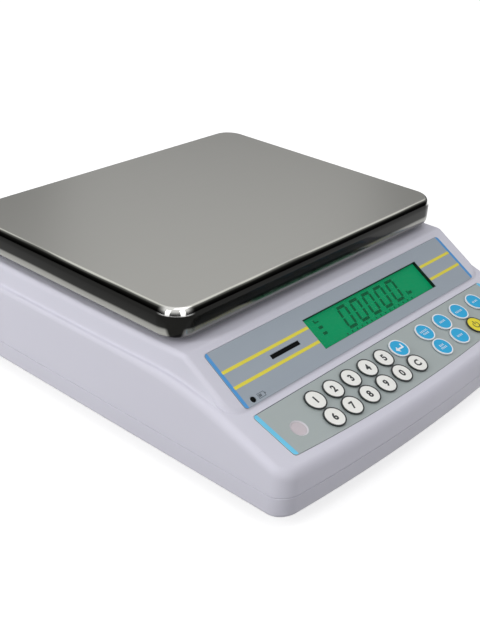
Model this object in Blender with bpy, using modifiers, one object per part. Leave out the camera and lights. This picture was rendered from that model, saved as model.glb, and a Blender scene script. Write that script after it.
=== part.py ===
"""Counting scale: a stainless pan on a sprung platform, a two-part plastic case, a display and a keypad.

World frame: metres, +Z up, the front faces -Y, the origin is on the ground under the middle of the case.
Numbers below are millimetres and degrees; MM turns them into metres when a mesh is made.
"""

import math

import bmesh
import bpy
from mathutils import Matrix, Vector

MM = 0.001
GAP = 0.3  # clearance between pieces that touch

# Case
CASE_HALF_WIDTH = 157.5
CASE_HALF_DEPTH = 177.5
CASE_BOTTOM = 11.0
SEAM = 26.0
LEDGE = 70.0
DECK = 85.0
WALL = 2.2
FRONT_BOW = 8.0  # how much further forward the middle of the front is than its ends
FRONT_CORNER = 14.0
BACK_CORNER = 12.0
WALL_LEAN = 1.0
LEDGE_ARC = 200.0  # radius of the curve from the level ledge down to the keypad slope
FOLD_ARC = 6.0  # radius of the edge between deck and display slope

# Raised block that carries the deck and the display
BLOCK_HALF_WIDTH = 152.6
BLOCK_BACK = 172.4
BLOCK_FRONT_CORNER = 16.0
BLOCK_BACK_CORNER = 10.0
BLOCK_EDGE = 4.0

# Display and keypad slopes. Each is a frame at the middle of the slope's top edge:
# X to the right, Y up the slope, Z out of the slope.
DISPLAY_SLOPE = math.radians(31.5)
KEYPAD_SLOPE = math.radians(18.0)
CREASE_Y = -125.3
CREASE_Z = 56.8
DISPLAY_TOP_Y = -84.1
LABEL_HALF_WIDTH = 136.6
DISPLAY_LABEL_DEPTH = 43.3
KEYPAD_LABEL_TOP = 0.8
KEYPAD_LABEL_BOTTOM = 43.0
LABEL_THICKNESS = 0.5
LABEL_PROUD = 0.2  # how far a label stands above the case round it
LABEL_CORNER = 2.5
LCD_LEFT, LCD_RIGHT = -47.4, 92.0
LCD_TOP, LCD_BOTTOM = 9.7, 35.0
STATUS_X, STATUS_DEPTH = -77.7, 22.0
STATUS_LENGTH, STATUS_WIDTH = 28.4, 2.8
LAMP_X, LAMP_DEPTH, LAMP_RADIUS = -127.1, 39.9, 1.9
LEVEL_X, LEVEL_DEPTH, LEVEL_RADIUS = -117.0, 23.2, 6.0

# Keys
KEY_RADIUS = 7.9
KEY_HEIGHT = 0.8
KEY_TRAVEL = 0.5
KEY_STEM = 4.5
KEY_ROWS = (13.6, 30.1)
NUMBER_KEY_X, NUMBER_KEY_PITCH = -89.6, 19.1
FUNCTION_KEY_X, FUNCTION_KEY_PITCH = 39.2, 23.6
NUMBER_KEYS = (
    ("key_1", "key_2", "key_3", "key_4", "key_5", "key_print"),
    ("key_6", "key_7", "key_8", "key_9", "key_0", "key_clear"),
)
FUNCTION_KEYS = (
    ("key_f1", "key_f2", "key_f3", "key_f4"),
    ("key_f5", "key_f6", "key_power", "key_f7"),
)
BLUE_KEYS = ("key_print", "key_f1", "key_f2", "key_f3", "key_f4", "key_f5", "key_f6", "key_f7")

# Pan and what carries it
PAN_HALF_WIDTH = 150.0
PAN_HALF_DEPTH = 112.5
PAN_Y = 39.5
PAN_TOP = 110.0
PAN_RIM = 89.5
PAN_SHEET = 1.2
PAN_CORNER = 18.0
PAN_FOLD_IN, PAN_FOLD_DOWN = 4.2, 7.5  # the fold from skirt to top is wider down than in
PAN_HEM_IN, PAN_HEM_UP = 2.6, 4.0  # the hem curls in under the skirt
CUSHION_X, CUSHION_Y = 115.0, 78.0
CUSHION_RADIUS = 11.0
CUSHION_BOTTOM = 102.0
SPIDER_BOTTOM, SPIDER_TOP = 88.0, 93.0
ARM_TOP, ARM_WIDTH = 96.0, 14.0
POST_X, POST_HALF = 51.0, 15.0
DECK_HOLE = 27.0

# Load cell and its plate
CELL_HALF_LENGTH, CELL_HALF_WIDTH = 65.0, 15.0
CELL_BOTTOM, CELL_TOP = 26.3, 48.3
CELL_HOLE, CELL_HOLE_X = 7.5, 11.0
PLATE_BOTTOM, PLATE_TOP = 17.0, 20.0
BOLT_RADIUS = 2.7
BOLT_OFFSET = 7.0

# Fastenings and feet
FOOT_X, FOOT_FRONT_Y, FOOT_BACK_Y = 130.0, -135.0, 148.0
FOOT_RADIUS, STUD_RADIUS, STUD_TOP = 11.0, 3.0, 21.0
SCREW_X, SCREW_FRONT_Y, SCREW_BACK_Y = 135.0, -95.0, 118.0
POST_RADIUS = 5.0

FOOT_BOSS_RADIUS, FOOT_BOSS_TOP = 8.0, 24.0
SCREW_TOWER_RADIUS, SCREW_HEAD_SEAT = 6.5, 18.9
PLATE_LEG_X, PLATE_LEG_Y, PLATE_LEG_RADIUS = 70.0, 40.0, 6.0

# Battery, boards and the connector bay at the back
BATTERY_X, BATTERY_Y = 70.0, 131.0
BATTERY_HALF_X, BATTERY_HALF_Y, BATTERY_LOW, BATTERY_TOP = 49.0, 34.0, 17.5, 63.5
COVER_HALF_X, COVER_HALF_Y, COVER_THICKNESS = 42.0, 32.0, 2.0
HATCH_HALF_X, HATCH_HALF_Y = 36.0, 27.0
COVER_SCREW_X = BATTERY_X + 39.0
BOARD_LEFT, BOARD_RIGHT, BOARD_FRONT, BOARD_BACK, BOARD_LOW = -118.0, -28.0, 100.0, 160.0, 20.0
BOARD_LEG_XS, BOARD_LEG_YS, BOARD_LEG_RADIUS = (-112.0, -34.0), (105.0, 155.0), 3.5
BOARD_THICKNESS = 1.6
BAY_LEFT, BAY_RIGHT, BAY_LOW, BAY_HIGH, BAY_FLOOR = -115.0, -40.0, 29.0, 60.0, 167.5
INLET_X, PORT_X, PORT_Z = -57.0, -93.0, 44.0

# Fineness of the meshes
ROUND = 16  # sides of a key or a foot
SMALL_ROUND = 12  # sides of a bolt
CORNER_STEPS = 4
FRONT_STEPS = 5
AHEAD_OF_FOLD = (-106.0, -99.0, -91.0)  # where points stand along the sides of the case
BEHIND_FOLD = (-66.0, -54.0, 0.0, 60.0, 120.0, 152.0)
STATIONS_BEFORE_FOLD = len(AHEAD_OF_FOLD)
FAR_BELOW = -900.0  # where a tool that must miss everything stands


def clear_scene():
    for obj in list(bpy.data.objects):
        bpy.data.objects.remove(obj, do_unlink=True)


def new_collection(name):
    collection = bpy.data.collections.new(name)
    bpy.context.scene.collection.children.link(collection)
    return collection


def material(name, colour, roughness, metallic=0.0):
    mat = bpy.data.materials.new(name)
    mat.use_nodes = True
    shader = mat.node_tree.nodes["Principled BSDF"]
    shader.inputs["Base Color"].default_value = (*colour, 1.0)
    shader.inputs["Roughness"].default_value = roughness
    shader.inputs["Metallic"].default_value = metallic
    return mat


def add_object(name, bm, mat=None, frame=None):
    """A mesh object from bm, whose coordinates are millimetres in frame; without mat it is a cutter."""
    bmesh.ops.scale(bm, vec=(MM, MM, MM), verts=bm.verts)
    mesh = bpy.data.meshes.new(name)
    bm.to_mesh(mesh)
    bm.free()
    obj = bpy.data.objects.new(name, mesh)
    if frame is not None:
        obj.matrix_world = frame
    if mat is None:
        tools.objects.link(obj)
        obj.hide_render = True
        obj.display_type = "WIRE"
    else:
        parts.objects.link(obj)
        mesh.materials.append(mat)
        mesh.shade_smooth()
        mesh.set_sharp_from_angle(angle=math.radians(32.0))
    return obj


def boolean(obj, tool, operation="DIFFERENCE"):
    modifier = obj.modifiers.new(operation.lower(), "BOOLEAN")
    modifier.operation = operation
    modifier.solver = "EXACT"
    modifier.use_self = operation == "UNION"
    modifier.object = tool


def box(bm, low, high):
    made = bmesh.ops.create_cube(bm, size=1.0)["verts"]
    size = [b - a for a, b in zip(low, high)]
    middle = Vector([(a + b) / 2 for a, b in zip(low, high)])
    bmesh.ops.scale(bm, vec=size, verts=made)
    bmesh.ops.translate(bm, vec=middle, verts=made)


def cylinder(bm, radius, low, high, x, y, sides=SMALL_ROUND, axis="Z"):
    """A closed cylinder along Z at (x, y), or along Y when axis is Y and (x, y) then stand for (x, z)."""
    turn = Matrix.Identity(4)
    place = Matrix.Translation((x, y, (low + high) / 2))
    if axis == "Y":
        turn = Matrix.Rotation(math.radians(90.0), 4, "X")
        place = Matrix.Translation((x, (low + high) / 2, y))
    bmesh.ops.create_cone(
        bm, cap_ends=True, segments=sides, radius1=radius, radius2=radius,
        depth=high - low, matrix=place @ turn,
    )


def prism(bm, outline, low, high):
    """A closed flat plate with this outline (anticlockwise from above) between two heights."""
    bottom = [bm.verts.new((x, y, low)) for x, y in outline]
    top = [bm.verts.new((x, y, high)) for x, y in outline]
    bm.faces.new(list(reversed(bottom)))
    bm.faces.new(top)
    for i in range(len(outline)):
        j = (i + 1) % len(outline)
        bm.faces.new((bottom[i], bottom[j], top[j], top[i]))


def turned(name, profile, mat, frame, sides=ROUND):
    """A turned piece. The profile of (radius, height) runs from the axis at the top to the axis at the bottom."""
    bm = bmesh.new()
    points = [bm.verts.new((r, 0.0, z)) for r, z in profile]
    for a, b in zip(points, points[1:]):
        bm.edges.new((a, b))
    obj = add_object(name, bm, mat, frame)
    screw = obj.modifiers.new("turn", "SCREW")
    screw.axis = "Z"
    screw.steps = sides
    screw.render_steps = sides
    screw.use_merge_vertices = True
    screw.merge_threshold = 0.00001
    screw.use_smooth_shade = True
    return obj


# --- outlines and heights of the case ---


def blend(low, high, t):
    """From low at t = 0 to high at t = 1, level at both ends."""
    t = min(max(t, 0.0), 1.0)
    t = t * t * (3.0 - 2.0 * t)
    return low + (high - low) * t


def forwardness(y):
    """0 at the back of the ledge, 1 from the display slope forward."""
    return blend(0.0, 1.0, (-y) / 110.0)


def ledge_height(y):
    """Level at the back, then an arc, then the keypad slope, which passes through the crease."""
    slope = math.tan(KEYPAD_SLOPE)
    corner_y = CREASE_Y + (LEDGE - CREASE_Z) / slope
    tangent = LEDGE_ARC * math.tan(KEYPAD_SLOPE / 2)
    start = corner_y + tangent
    end = corner_y - tangent * math.cos(KEYPAD_SLOPE)
    if y >= start:
        return LEDGE
    if y <= end:
        return CREASE_Z + (y - CREASE_Y) * slope
    run = start - y
    return LEDGE - LEDGE_ARC + math.sqrt(LEDGE_ARC**2 - run**2)


def block_height(y, drop=0.0):
    """The display slope up to the deck, with a rounded edge between them; drop lowers both along their normals."""
    slope = math.tan(DISPLAY_SLOPE)
    deck = DECK - drop
    fold = CREASE_Y + (DECK - CREASE_Z) / slope + drop * math.tan(DISPLAY_SLOPE / 2)
    tangent = FOLD_ARC * math.tan(DISPLAY_SLOPE / 2)
    start = fold + tangent
    end = fold - tangent * math.cos(DISPLAY_SLOPE)
    if y >= start:
        return deck
    if y <= end:
        return deck + (y - fold) * slope
    return deck - FOLD_ARC + math.sqrt(FOLD_ARC**2 - (start - y) ** 2)


def side_stations():
    """Where the points along each side stand, from front to back; the fold of the block is among them."""
    fold = CREASE_Y + (DECK - CREASE_Z) / math.tan(DISPLAY_SLOPE)
    tangent = FOLD_ARC * math.tan(DISPLAY_SLOPE / 2)
    near_fold = [fold - tangent, fold, fold + tangent]
    return [*AHEAD_OF_FOLD, *near_fold, *BEHIND_FOLD]


def outline(half_width, front, back, front_corner, back_corner, bow=0.0, stations=()):
    """Points (x, y, normal x, normal y) anticlockwise round a rounded rectangle whose front may bow."""
    half = []
    straight = half_width - front_corner
    for i in range(FRONT_STEPS):
        half.append((straight * i / FRONT_STEPS, front, 0.0, -1.0))
    for i in range(CORNER_STEPS + 1):
        a = math.radians(90.0 * i / CORNER_STEPS)
        x = straight + front_corner * math.sin(a)
        y = front + front_corner * (1.0 - math.cos(a))
        half.append((x, y, math.sin(a), -math.cos(a)))
    for y in stations:
        half.append((half_width, y, 1.0, 0.0))
    for i in range(CORNER_STEPS + 1):
        a = math.radians(90.0 * i / CORNER_STEPS)
        x = half_width - back_corner * (1.0 - math.cos(a))
        y = back - back_corner * (1.0 - math.sin(a))
        half.append((x, y, math.cos(a), math.sin(a)))
    half.append((0.0, back, 0.0, 1.0))
    half = [(x, y + front_bow(x, y, front, bow), nx, ny) for x, y, nx, ny in half]
    mirrored = [(-x, y, -nx, ny) for x, y, nx, ny in reversed(half[1:-1])]
    return half + mirrored


def front_bow(x, y, front, bow):
    """How far a point is pushed back from the foremost line; it fades out along the sides."""
    fade = min(max(1.0 - (y - front) / 45.0, 0.0), 1.0)
    return bow * (x / CASE_HALF_WIDTH) ** 2 * fade


def ring(points, inset, height):
    """Each outline point moved in by inset(y) and given the height that belongs to its place."""
    placed = []
    for x, y, nx, ny in points:
        d = inset(y)
        px, py = x - nx * d, y - ny * d
        placed.append((px, py, height(px, py)))
    return placed


def skin(bm, rings, inward=False):
    """Quads between each ring and the next; returns the rings' vertices."""
    rows = [[bm.verts.new(p) for p in r] for r in rings]
    count = len(rows[0])
    for low, high in zip(rows, rows[1:]):
        for i in range(count):
            j = (i + 1) % count
            face = (low[i], low[j], high[j], high[i])
            bm.faces.new(tuple(reversed(face)) if inward else face)
    return rows


def close(bm, row, inward=False):
    bm.faces.new(list(reversed(row)) if inward else row)


def close_roof(bm, row, inward=False):
    """Fills the block's top: one face for the display slope, strips over the fold, one face for the deck."""
    count = len(row)
    first = FRONT_STEPS + CORNER_STEPS + 1  # the first side station, after the front and the corner
    fold = first + STATIONS_BEFORE_FOLD
    edges = [(c, count - c) for c in (fold, fold + 1, fold + 2)]
    right, left = edges[0]
    faces = [row[left:] + row[: right + 1]]
    for (r0, l0), (r1, l1) in zip(edges, edges[1:]):
        faces.append([row[l0], row[r0], row[r1], row[l1]])
    right, left = edges[-1]
    faces.append(row[right : left + 1])
    for face in faces:
        bm.faces.new(list(reversed(face)) if inward else face)


def bridge(bm, outer, inner, facing_down):
    count = len(outer)
    for i in range(count):
        j = (i + 1) % count
        face = (outer[i], inner[i], inner[j], outer[j])
        bm.faces.new(face if facing_down else tuple(reversed(face)))


def case_outline():
    return outline(
        CASE_HALF_WIDTH, -CASE_HALF_DEPTH, CASE_HALF_DEPTH, FRONT_CORNER, BACK_CORNER,
        FRONT_BOW, side_stations(),
    )


def block_outline():
    return outline(
        BLOCK_HALF_WIDTH, CREASE_Y, BLOCK_BACK, BLOCK_FRONT_CORNER, BLOCK_BACK_CORNER,
        stations=side_stations(),
    )


def shoulder_width(y):
    return blend(3.4, 5.2, forwardness(y))


def shoulder_drop(y):
    return blend(4.0, 7.0, forwardness(y))


def block_taper(y):
    """The block's foot moves in towards the front, to leave room for the wider ledge."""
    return 1.8 * forwardness(y)


def upper_case_shell():
    base = case_outline()
    block = block_outline()
    outside = [ring(base, lambda y: 0.0, lambda x, y: SEAM + GAP)]
    outside.append(ring(base, lambda y: WALL_LEAN, lambda x, y: ledge_height(y) - shoulder_drop(y)))
    for degrees in (30.0, 60.0, 90.0):
        a = math.radians(degrees)
        outside.append(
            ring(
                base,
                lambda y, a=a: WALL_LEAN + shoulder_width(y) * (1.0 - math.cos(a)),
                lambda x, y, a=a: ledge_height(y) - shoulder_drop(y) * (1.0 - math.sin(a)),
            )
        )
    outside.append(ring(block, lambda y: block_taper(y), lambda x, y: ledge_height(y)))
    for degrees in (0.0, 30.0, 60.0, 90.0):
        a = math.radians(degrees)
        outside.append(
            ring(
                block,
                lambda y, a=a: block_taper(y) + 1.0 + BLOCK_EDGE * (1.0 - math.cos(a)),
                lambda x, y, a=a: max(
                    ledge_height(y), block_height(y) - BLOCK_EDGE * (1.0 - math.sin(a))
                ),
            )
        )
    under_ledge = WALL / math.cos(KEYPAD_SLOPE)
    inside = [ring(base, lambda y: WALL, lambda x, y: SEAM + GAP)]
    inside.append(
        ring(base, lambda y: WALL_LEAN + WALL, lambda x, y: ledge_height(y) - shoulder_drop(y))
    )
    inside.append(
        ring(
            base,
            lambda y: WALL_LEAN + WALL + shoulder_width(y) * 0.6,
            lambda x, y: ledge_height(y) - under_ledge,
        )
    )
    inside.append(
        ring(block, lambda y: block_taper(y) + WALL, lambda x, y: ledge_height(y) - under_ledge)
    )
    inside.append(
        ring(
            block,
            lambda y: block_taper(y) + WALL + 1.0,
            lambda x, y: max(ledge_height(y) - under_ledge, block_height(y, WALL) - 3.0),
        )
    )
    inside.append(
        ring(
            block,
            lambda y: block_taper(y) + WALL + 4.0,
            lambda x, y: max(ledge_height(y) - under_ledge, block_height(y, WALL)),
        )
    )
    bm = bmesh.new()
    outer = skin(bm, outside)
    inner = skin(bm, inside, inward=True)
    close_roof(bm, outer[-1])
    close_roof(bm, inner[-1], inward=True)
    bridge(bm, outer[0], inner[0], facing_down=True)
    return bm


def lower_case_shell():
    base = case_outline()
    outside = [
        ring(base, lambda y, d=d: d, lambda x, y, z=z: z)
        for d, z in ((3.2, 11.0), (1.6, 11.5), (0.7, 12.6), (0.4, 14.4), (0.0, SEAM))
    ]
    inside = [
        ring(base, lambda y, d=d: d, lambda x, y, z=z: z)
        for d, z in ((3.4 + WALL, CASE_BOTTOM + WALL), (0.4 + WALL, 15.4), (WALL, SEAM))
    ]
    bm = bmesh.new()
    outer = skin(bm, outside)
    inner = skin(bm, inside, inward=True)
    close(bm, outer[0], inward=True)
    close(bm, inner[0])
    bridge(bm, outer[-1], inner[-1], facing_down=False)
    return bm


def label_outline(half_width, top, bottom, bow, grow=0.0):
    """Outline of a label in its slope's frame; bow is how much shorter its ends are than its middle."""
    half_width += grow
    radius = LABEL_CORNER + grow
    steps = 4
    points = []

    def bottom_at(x):
        return -(bottom + grow) + bow * (x / half_width) ** 2

    run = half_width - radius
    for i in range(13):
        x = -run + 2.0 * run * i / 12
        points.append((x, bottom_at(x)))
    corners = ((run, bottom_at(run) + radius, -90.0), (run, -(top - grow) - radius, 0.0))
    corners += ((-run, -(top - grow) - radius, 90.0), (-run, bottom_at(run) + radius, 180.0))
    for cx, cy, start in corners:
        for i in range(steps + 1):
            if (start, i) in ((-90.0, 0), (180.0, steps)):
                continue
            a = math.radians(start + 90.0 * i / steps)
            points.append((cx + radius * math.cos(a), cy + radius * math.sin(a)))
    return points


def display_outline(grow=0.0):
    return label_outline(LABEL_HALF_WIDTH, 0.0, DISPLAY_LABEL_DEPTH, 0.0, grow)


def keypad_outline(grow=0.0):
    return label_outline(LABEL_HALF_WIDTH, KEYPAD_LABEL_TOP, KEYPAD_LABEL_BOTTOM, 6.2, grow)


def key_places():
    """Every key's name with its place across and down the keypad slope."""
    for names, x0, pitch in (
        (NUMBER_KEYS, NUMBER_KEY_X, NUMBER_KEY_PITCH),
        (FUNCTION_KEYS, FUNCTION_KEY_X, FUNCTION_KEY_PITCH),
    ):
        for row, depth in zip(names, KEY_ROWS):
            for i, name in enumerate(row):
                yield name, x0 + i * pitch, depth


# --- cutters shared by the case and its labels ---


def display_cutters():
    bm = bmesh.new()
    prism(bm, display_outline(GAP), -0.6, 4.0)
    pocket = add_object("cut_display_pocket", bm, frame=display_frame)
    bm = bmesh.new()
    box(bm, (LCD_LEFT, -LCD_BOTTOM, -5.0), (LCD_RIGHT, -LCD_TOP, 3.0))
    half = (STATUS_LENGTH / 2 + GAP, STATUS_WIDTH / 2 + GAP)
    box(
        bm,
        (STATUS_X - half[0], -STATUS_DEPTH - half[1], -5.0),
        (STATUS_X + half[0], -STATUS_DEPTH + half[1], 3.0),
    )
    cylinder(bm, LAMP_RADIUS + GAP, -5.0, 3.0, LAMP_X, -LAMP_DEPTH, SMALL_ROUND)
    return pocket, add_object("cut_display_holes", bm, frame=display_frame)


def keypad_cutters():
    bm = bmesh.new()
    prism(bm, keypad_outline(GAP), -0.6, 4.0)
    pocket = add_object("cut_keypad_pocket", bm, frame=keypad_frame)
    bm = bmesh.new()
    for _, x, depth in key_places():
        cylinder(bm, KEY_STEM + 0.35, -5.0, 3.0, x, -depth, SMALL_ROUND)
    cylinder(bm, LEVEL_RADIUS + GAP, -5.0, 3.0, LEVEL_X, -LEVEL_DEPTH, ROUND)
    return pocket, add_object("cut_keypad_holes", bm, frame=keypad_frame)


def screw_places():
    return [(x, y) for x in (-SCREW_X, SCREW_X) for y in (SCREW_FRONT_Y, SCREW_BACK_Y)]


def foot_places():
    return [(x, y) for x in (-FOOT_X, FOOT_X) for y in (FOOT_FRONT_Y, FOOT_BACK_Y)]


# --- the case ---


def make_upper_case(display_tools, keypad_tools):
    obj = add_object("upper_case", upper_case_shell(), case_plastic)
    bm = bmesh.new()
    for x, y in screw_places():
        top = block_height(y - POST_RADIUS) - 1.2
        cylinder(bm, POST_RADIUS, SEAM + GAP, top, x, y)
    box(
        bm,
        (BAY_LEFT - 2.5, BAY_FLOOR - 2.5, SEAM + 0.8),
        (BAY_RIGHT + 2.5, CASE_HALF_DEPTH - 1.8, BAY_HIGH + 2.5),
    )
    boolean(obj, add_object("add_upper_bosses", bm), "UNION")
    bm = bmesh.new()
    for x, y in screw_places():
        cylinder(bm, 1.8, SEAM - 1.0, 42.0, x, y)
    box(bm, (BAY_LEFT, BAY_FLOOR, BAY_LOW), (BAY_RIGHT, CASE_HALF_DEPTH + 5.0, BAY_HIGH))
    cylinder(bm, DECK_HOLE, DECK - 6.0, DECK + 4.0, POST_X, PAN_Y, ROUND)
    boolean(obj, add_object("cut_upper_openings", bm))
    bm = bmesh.new()
    cylinder(bm, 5.8, BAY_FLOOR - 6.0, BAY_FLOOR + 2.0, INLET_X, PORT_Z, ROUND, axis="Y")
    box(bm, (PORT_X - 9.0, BAY_FLOOR - 6.0, PORT_Z - 5.0), (PORT_X + 9.0, BAY_FLOOR + 2.0, PORT_Z + 5.0))
    boolean(obj, add_object("cut_connectors", bm))
    for tool in (*display_tools, *keypad_tools):
        boolean(obj, tool)


def make_lower_case():
    obj = add_object("lower_case", lower_case_shell(), case_plastic)
    floor = CASE_BOTTOM + WALL
    root = floor - 0.5  # the bosses start inside the floor
    bm = bmesh.new()
    for x, y in foot_places():
        cylinder(bm, FOOT_BOSS_RADIUS, root, FOOT_BOSS_TOP, x, y)
    for x, y in screw_places():
        cylinder(bm, SCREW_TOWER_RADIUS, root, SEAM - GAP, x, y)
    for x in (-PLATE_LEG_X, PLATE_LEG_X):
        for y in (PAN_Y - PLATE_LEG_Y, PAN_Y + PLATE_LEG_Y):
            cylinder(bm, PLATE_LEG_RADIUS, root, PLATE_BOTTOM - GAP, x, y)
    for x in BOARD_LEG_XS:
        for y in BOARD_LEG_YS:
            cylinder(bm, BOARD_LEG_RADIUS, root, BOARD_LOW - GAP, x, y)
    battery_bed = BATTERY_LOW - 0.5
    box(
        bm,
        (BATTERY_X - BATTERY_HALF_X - 1.0, BATTERY_Y - BATTERY_HALF_Y - 3.0, root),
        (BATTERY_X + BATTERY_HALF_X + 1.0, BATTERY_Y + BATTERY_HALF_Y + 3.0, battery_bed),
    )
    boolean(obj, add_object("add_lower_bosses", bm), "UNION")
    bm = bmesh.new()
    for x, y in foot_places():
        cylinder(bm, STUD_RADIUS + GAP, CASE_BOTTOM - 1.0, FOOT_BOSS_TOP + 1.0, x, y)
    for x, y in screw_places():
        cylinder(bm, 2.0, 15.0, SEAM + 1.0, x, y)
    box(
        bm,
        (BATTERY_X - COVER_HALF_X, BATTERY_Y - COVER_HALF_Y, CASE_BOTTOM - 1.0),
        (BATTERY_X + COVER_HALF_X, BATTERY_Y + COVER_HALF_Y, CASE_BOTTOM + COVER_THICKNESS + GAP),
    )
    boolean(obj, add_object("cut_lower_recesses", bm))
    bm = bmesh.new()
    for x, y in screw_places():
        cylinder(bm, 4.2, CASE_BOTTOM - 1.0, SCREW_HEAD_SEAT, x, y)
    box(
        bm,
        (BATTERY_X - HATCH_HALF_X, BATTERY_Y - HATCH_HALF_Y, CASE_BOTTOM),
        (BATTERY_X + HATCH_HALF_X, BATTERY_Y + HATCH_HALF_Y, battery_bed + 1.0),
    )
    cylinder(bm, 1.5, CASE_BOTTOM, battery_bed + 1.0, COVER_SCREW_X, BATTERY_Y)
    boolean(obj, add_object("cut_lower_holes", bm))


def make_battery_cover():
    bm = bmesh.new()
    half_x, half_y = COVER_HALF_X - GAP, COVER_HALF_Y - GAP
    box(
        bm,
        (BATTERY_X - half_x, BATTERY_Y - half_y, CASE_BOTTOM),
        (BATTERY_X + half_x, BATTERY_Y + half_y, CASE_BOTTOM + COVER_THICKNESS),
    )
    cover = add_object("battery_cover", bm, case_plastic)
    bm = bmesh.new()
    cylinder(bm, 2.5, CASE_BOTTOM - 1.0, CASE_BOTTOM + 1.2, COVER_SCREW_X, BATTERY_Y)
    boolean(cover, add_object("cut_cover_head", bm))
    bm = bmesh.new()
    cylinder(bm, 1.5, CASE_BOTTOM, CASE_BOTTOM + 4.0, COVER_SCREW_X, BATTERY_Y)
    boolean(cover, add_object("cut_cover_hole", bm))
    top, head, low = 17.5, CASE_BOTTOM + 0.9, CASE_BOTTOM + 0.1
    profile = [(0.0, top), (1.2, top), (1.2, head), (2.2, head), (2.2, low), (0.0, low)]
    place = Matrix.Translation((COVER_SCREW_X * MM, BATTERY_Y * MM, 0.0))
    turned("cover_screw", profile, steel, place, SMALL_ROUND)


def make_case_screws():
    profile = [(0.0, 40.0), (1.5, 40.0), (1.5, 18.6), (3.7, 18.6), (3.7, 15.6), (0.0, 15.6)]
    for i, (x, y) in enumerate(screw_places()):
        place = Matrix.Translation((x * MM, y * MM, 0.0))
        turned(f"case_screw_{i + 1}", profile, steel, place, SMALL_ROUND)


def make_feet():
    top = CASE_BOTTOM - GAP
    profile = [(0.0, STUD_TOP), (STUD_RADIUS, STUD_TOP), (STUD_RADIUS, top), (8.0, top)]
    profile += [(8.0, 7.5), (FOOT_RADIUS - 0.6, 6.6), (FOOT_RADIUS, 6.0)]
    profile += [(FOOT_RADIUS, 0.8), (FOOT_RADIUS - 0.8, 0.0), (0.0, 0.0)]
    for i, (x, y) in enumerate(foot_places()):
        turned(f"foot_{i + 1}", profile, rubber, Matrix.Translation((x * MM, y * MM, 0.0)))


# --- the display ---


def make_display(holes):
    bm = bmesh.new()
    prism(bm, display_outline(), LABEL_PROUD - LABEL_THICKNESS, LABEL_PROUD)
    label = add_object("display_label", bm, label_film, display_frame)
    boolean(label, holes)
    bm = bmesh.new()
    box(
        bm,
        (LCD_LEFT + GAP, -LCD_BOTTOM + GAP, -1.9),
        (LCD_RIGHT - GAP, -LCD_TOP - GAP, -1.1),
    )
    add_object("display_window", bm, clear, display_frame)
    bm = bmesh.new()
    box(bm, (LCD_LEFT - 5.0, -LCD_BOTTOM - 4.0, -9.5), (LCD_RIGHT + 5.0, -LCD_TOP + 4.0, -2.6))
    add_object("lcd_module", bm, lcd_green, display_frame)
    bm = bmesh.new()
    box(bm, (-130.0, -42.0, -10.8 - BOARD_THICKNESS), (130.0, -3.0, -10.8))
    add_object("display_board", bm, board, display_frame)
    bm = bmesh.new()
    half = (STATUS_LENGTH / 2, STATUS_WIDTH / 2)
    box(
        bm,
        (STATUS_X - half[0], -STATUS_DEPTH - half[1], -2.6),
        (STATUS_X + half[0], -STATUS_DEPTH + half[1], LABEL_PROUD + 0.1),
    )
    add_object("status_window", bm, dark_lens, display_frame)
    place = display_frame @ Matrix.Translation((LAMP_X * MM, -LAMP_DEPTH * MM, 0.0))
    r = LAMP_RADIUS
    profile = [(0.0, 0.7), (r * 0.6, 0.6), (r, 0.2), (r, -3.0), (0.0, -3.0)]
    turned("charge_lamp", profile, dark_lens, place, SMALL_ROUND)


# --- the keypad ---


def make_keypad(holes):
    bm = bmesh.new()
    prism(bm, keypad_outline(), LABEL_PROUD - LABEL_THICKNESS, LABEL_PROUD)
    label = add_object("keypad_label", bm, label_film, keypad_frame)
    boolean(label, holes)
    bm = bmesh.new()
    box(bm, (-130.0, -40.0, -4.4 - BOARD_THICKNESS), (130.0, -3.0, -4.4))
    keypad_board = add_object("keypad_board", bm, board, keypad_frame)
    bm = bmesh.new()
    cylinder(bm, LEVEL_RADIUS + 1.0, -8.0, -2.0, LEVEL_X, -LEVEL_DEPTH, ROUND)
    boolean(keypad_board, add_object("cut_board_level", bm, frame=keypad_frame))
    place = keypad_frame @ Matrix.Translation((LEVEL_X * MM, -LEVEL_DEPTH * MM, 0.0))
    r = LEVEL_RADIUS
    turned("level_lens", [(0.0, -0.4), (r, -0.4), (r, -1.4), (0.0, -1.4)], clear, place)
    vial = [(0.0, -2.2), (r * 0.5, -2.4), (r * 0.95, -3.2), (r * 0.95, -10.0), (0.0, -10.0)]
    turned("level_vial", vial, vial_liquid, place)


def make_keys():
    """Each key's origin is on the slope, on its stem's axis."""
    low = LABEL_PROUD + KEY_TRAVEL + 0.1
    high = low + KEY_HEIGHT
    stem_end = -3.7
    profile = [(0.0, high), (KEY_RADIUS - 0.35, high), (KEY_RADIUS, high - 0.3)]
    profile += [(KEY_RADIUS, low), (KEY_STEM, low), (KEY_STEM, stem_end), (0.0, stem_end)]
    for name, x, depth in key_places():
        finish = key_white
        if name in BLUE_KEYS:
            finish = key_blue
        if name == "key_power":
            finish = key_yellow
        place = keypad_frame @ Matrix.Translation((x * MM, -depth * MM, 0.0))
        turned(name, profile, finish, place)


# --- the platform ---


def pan_side(sheet):
    """(inset, height) from the hem up over the fold, for the outside, or one sheet's thickness inside it."""
    side = []
    for degrees in (0.0, 45.0, 90.0):
        a = math.radians(degrees)
        side.append((PAN_HEM_IN * (1.0 - math.sin(a)) + sheet, PAN_RIM + PAN_HEM_UP * (1.0 - math.cos(a))))
    for degrees in (0.0, 30.0, 60.0, 90.0):
        a = math.radians(degrees)
        inset = PAN_FOLD_IN * (1.0 - math.cos(a)) + sheet * math.cos(a)
        side.append((inset, PAN_TOP - PAN_FOLD_DOWN * (1.0 - math.sin(a)) - sheet * math.sin(a)))
    return side


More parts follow.
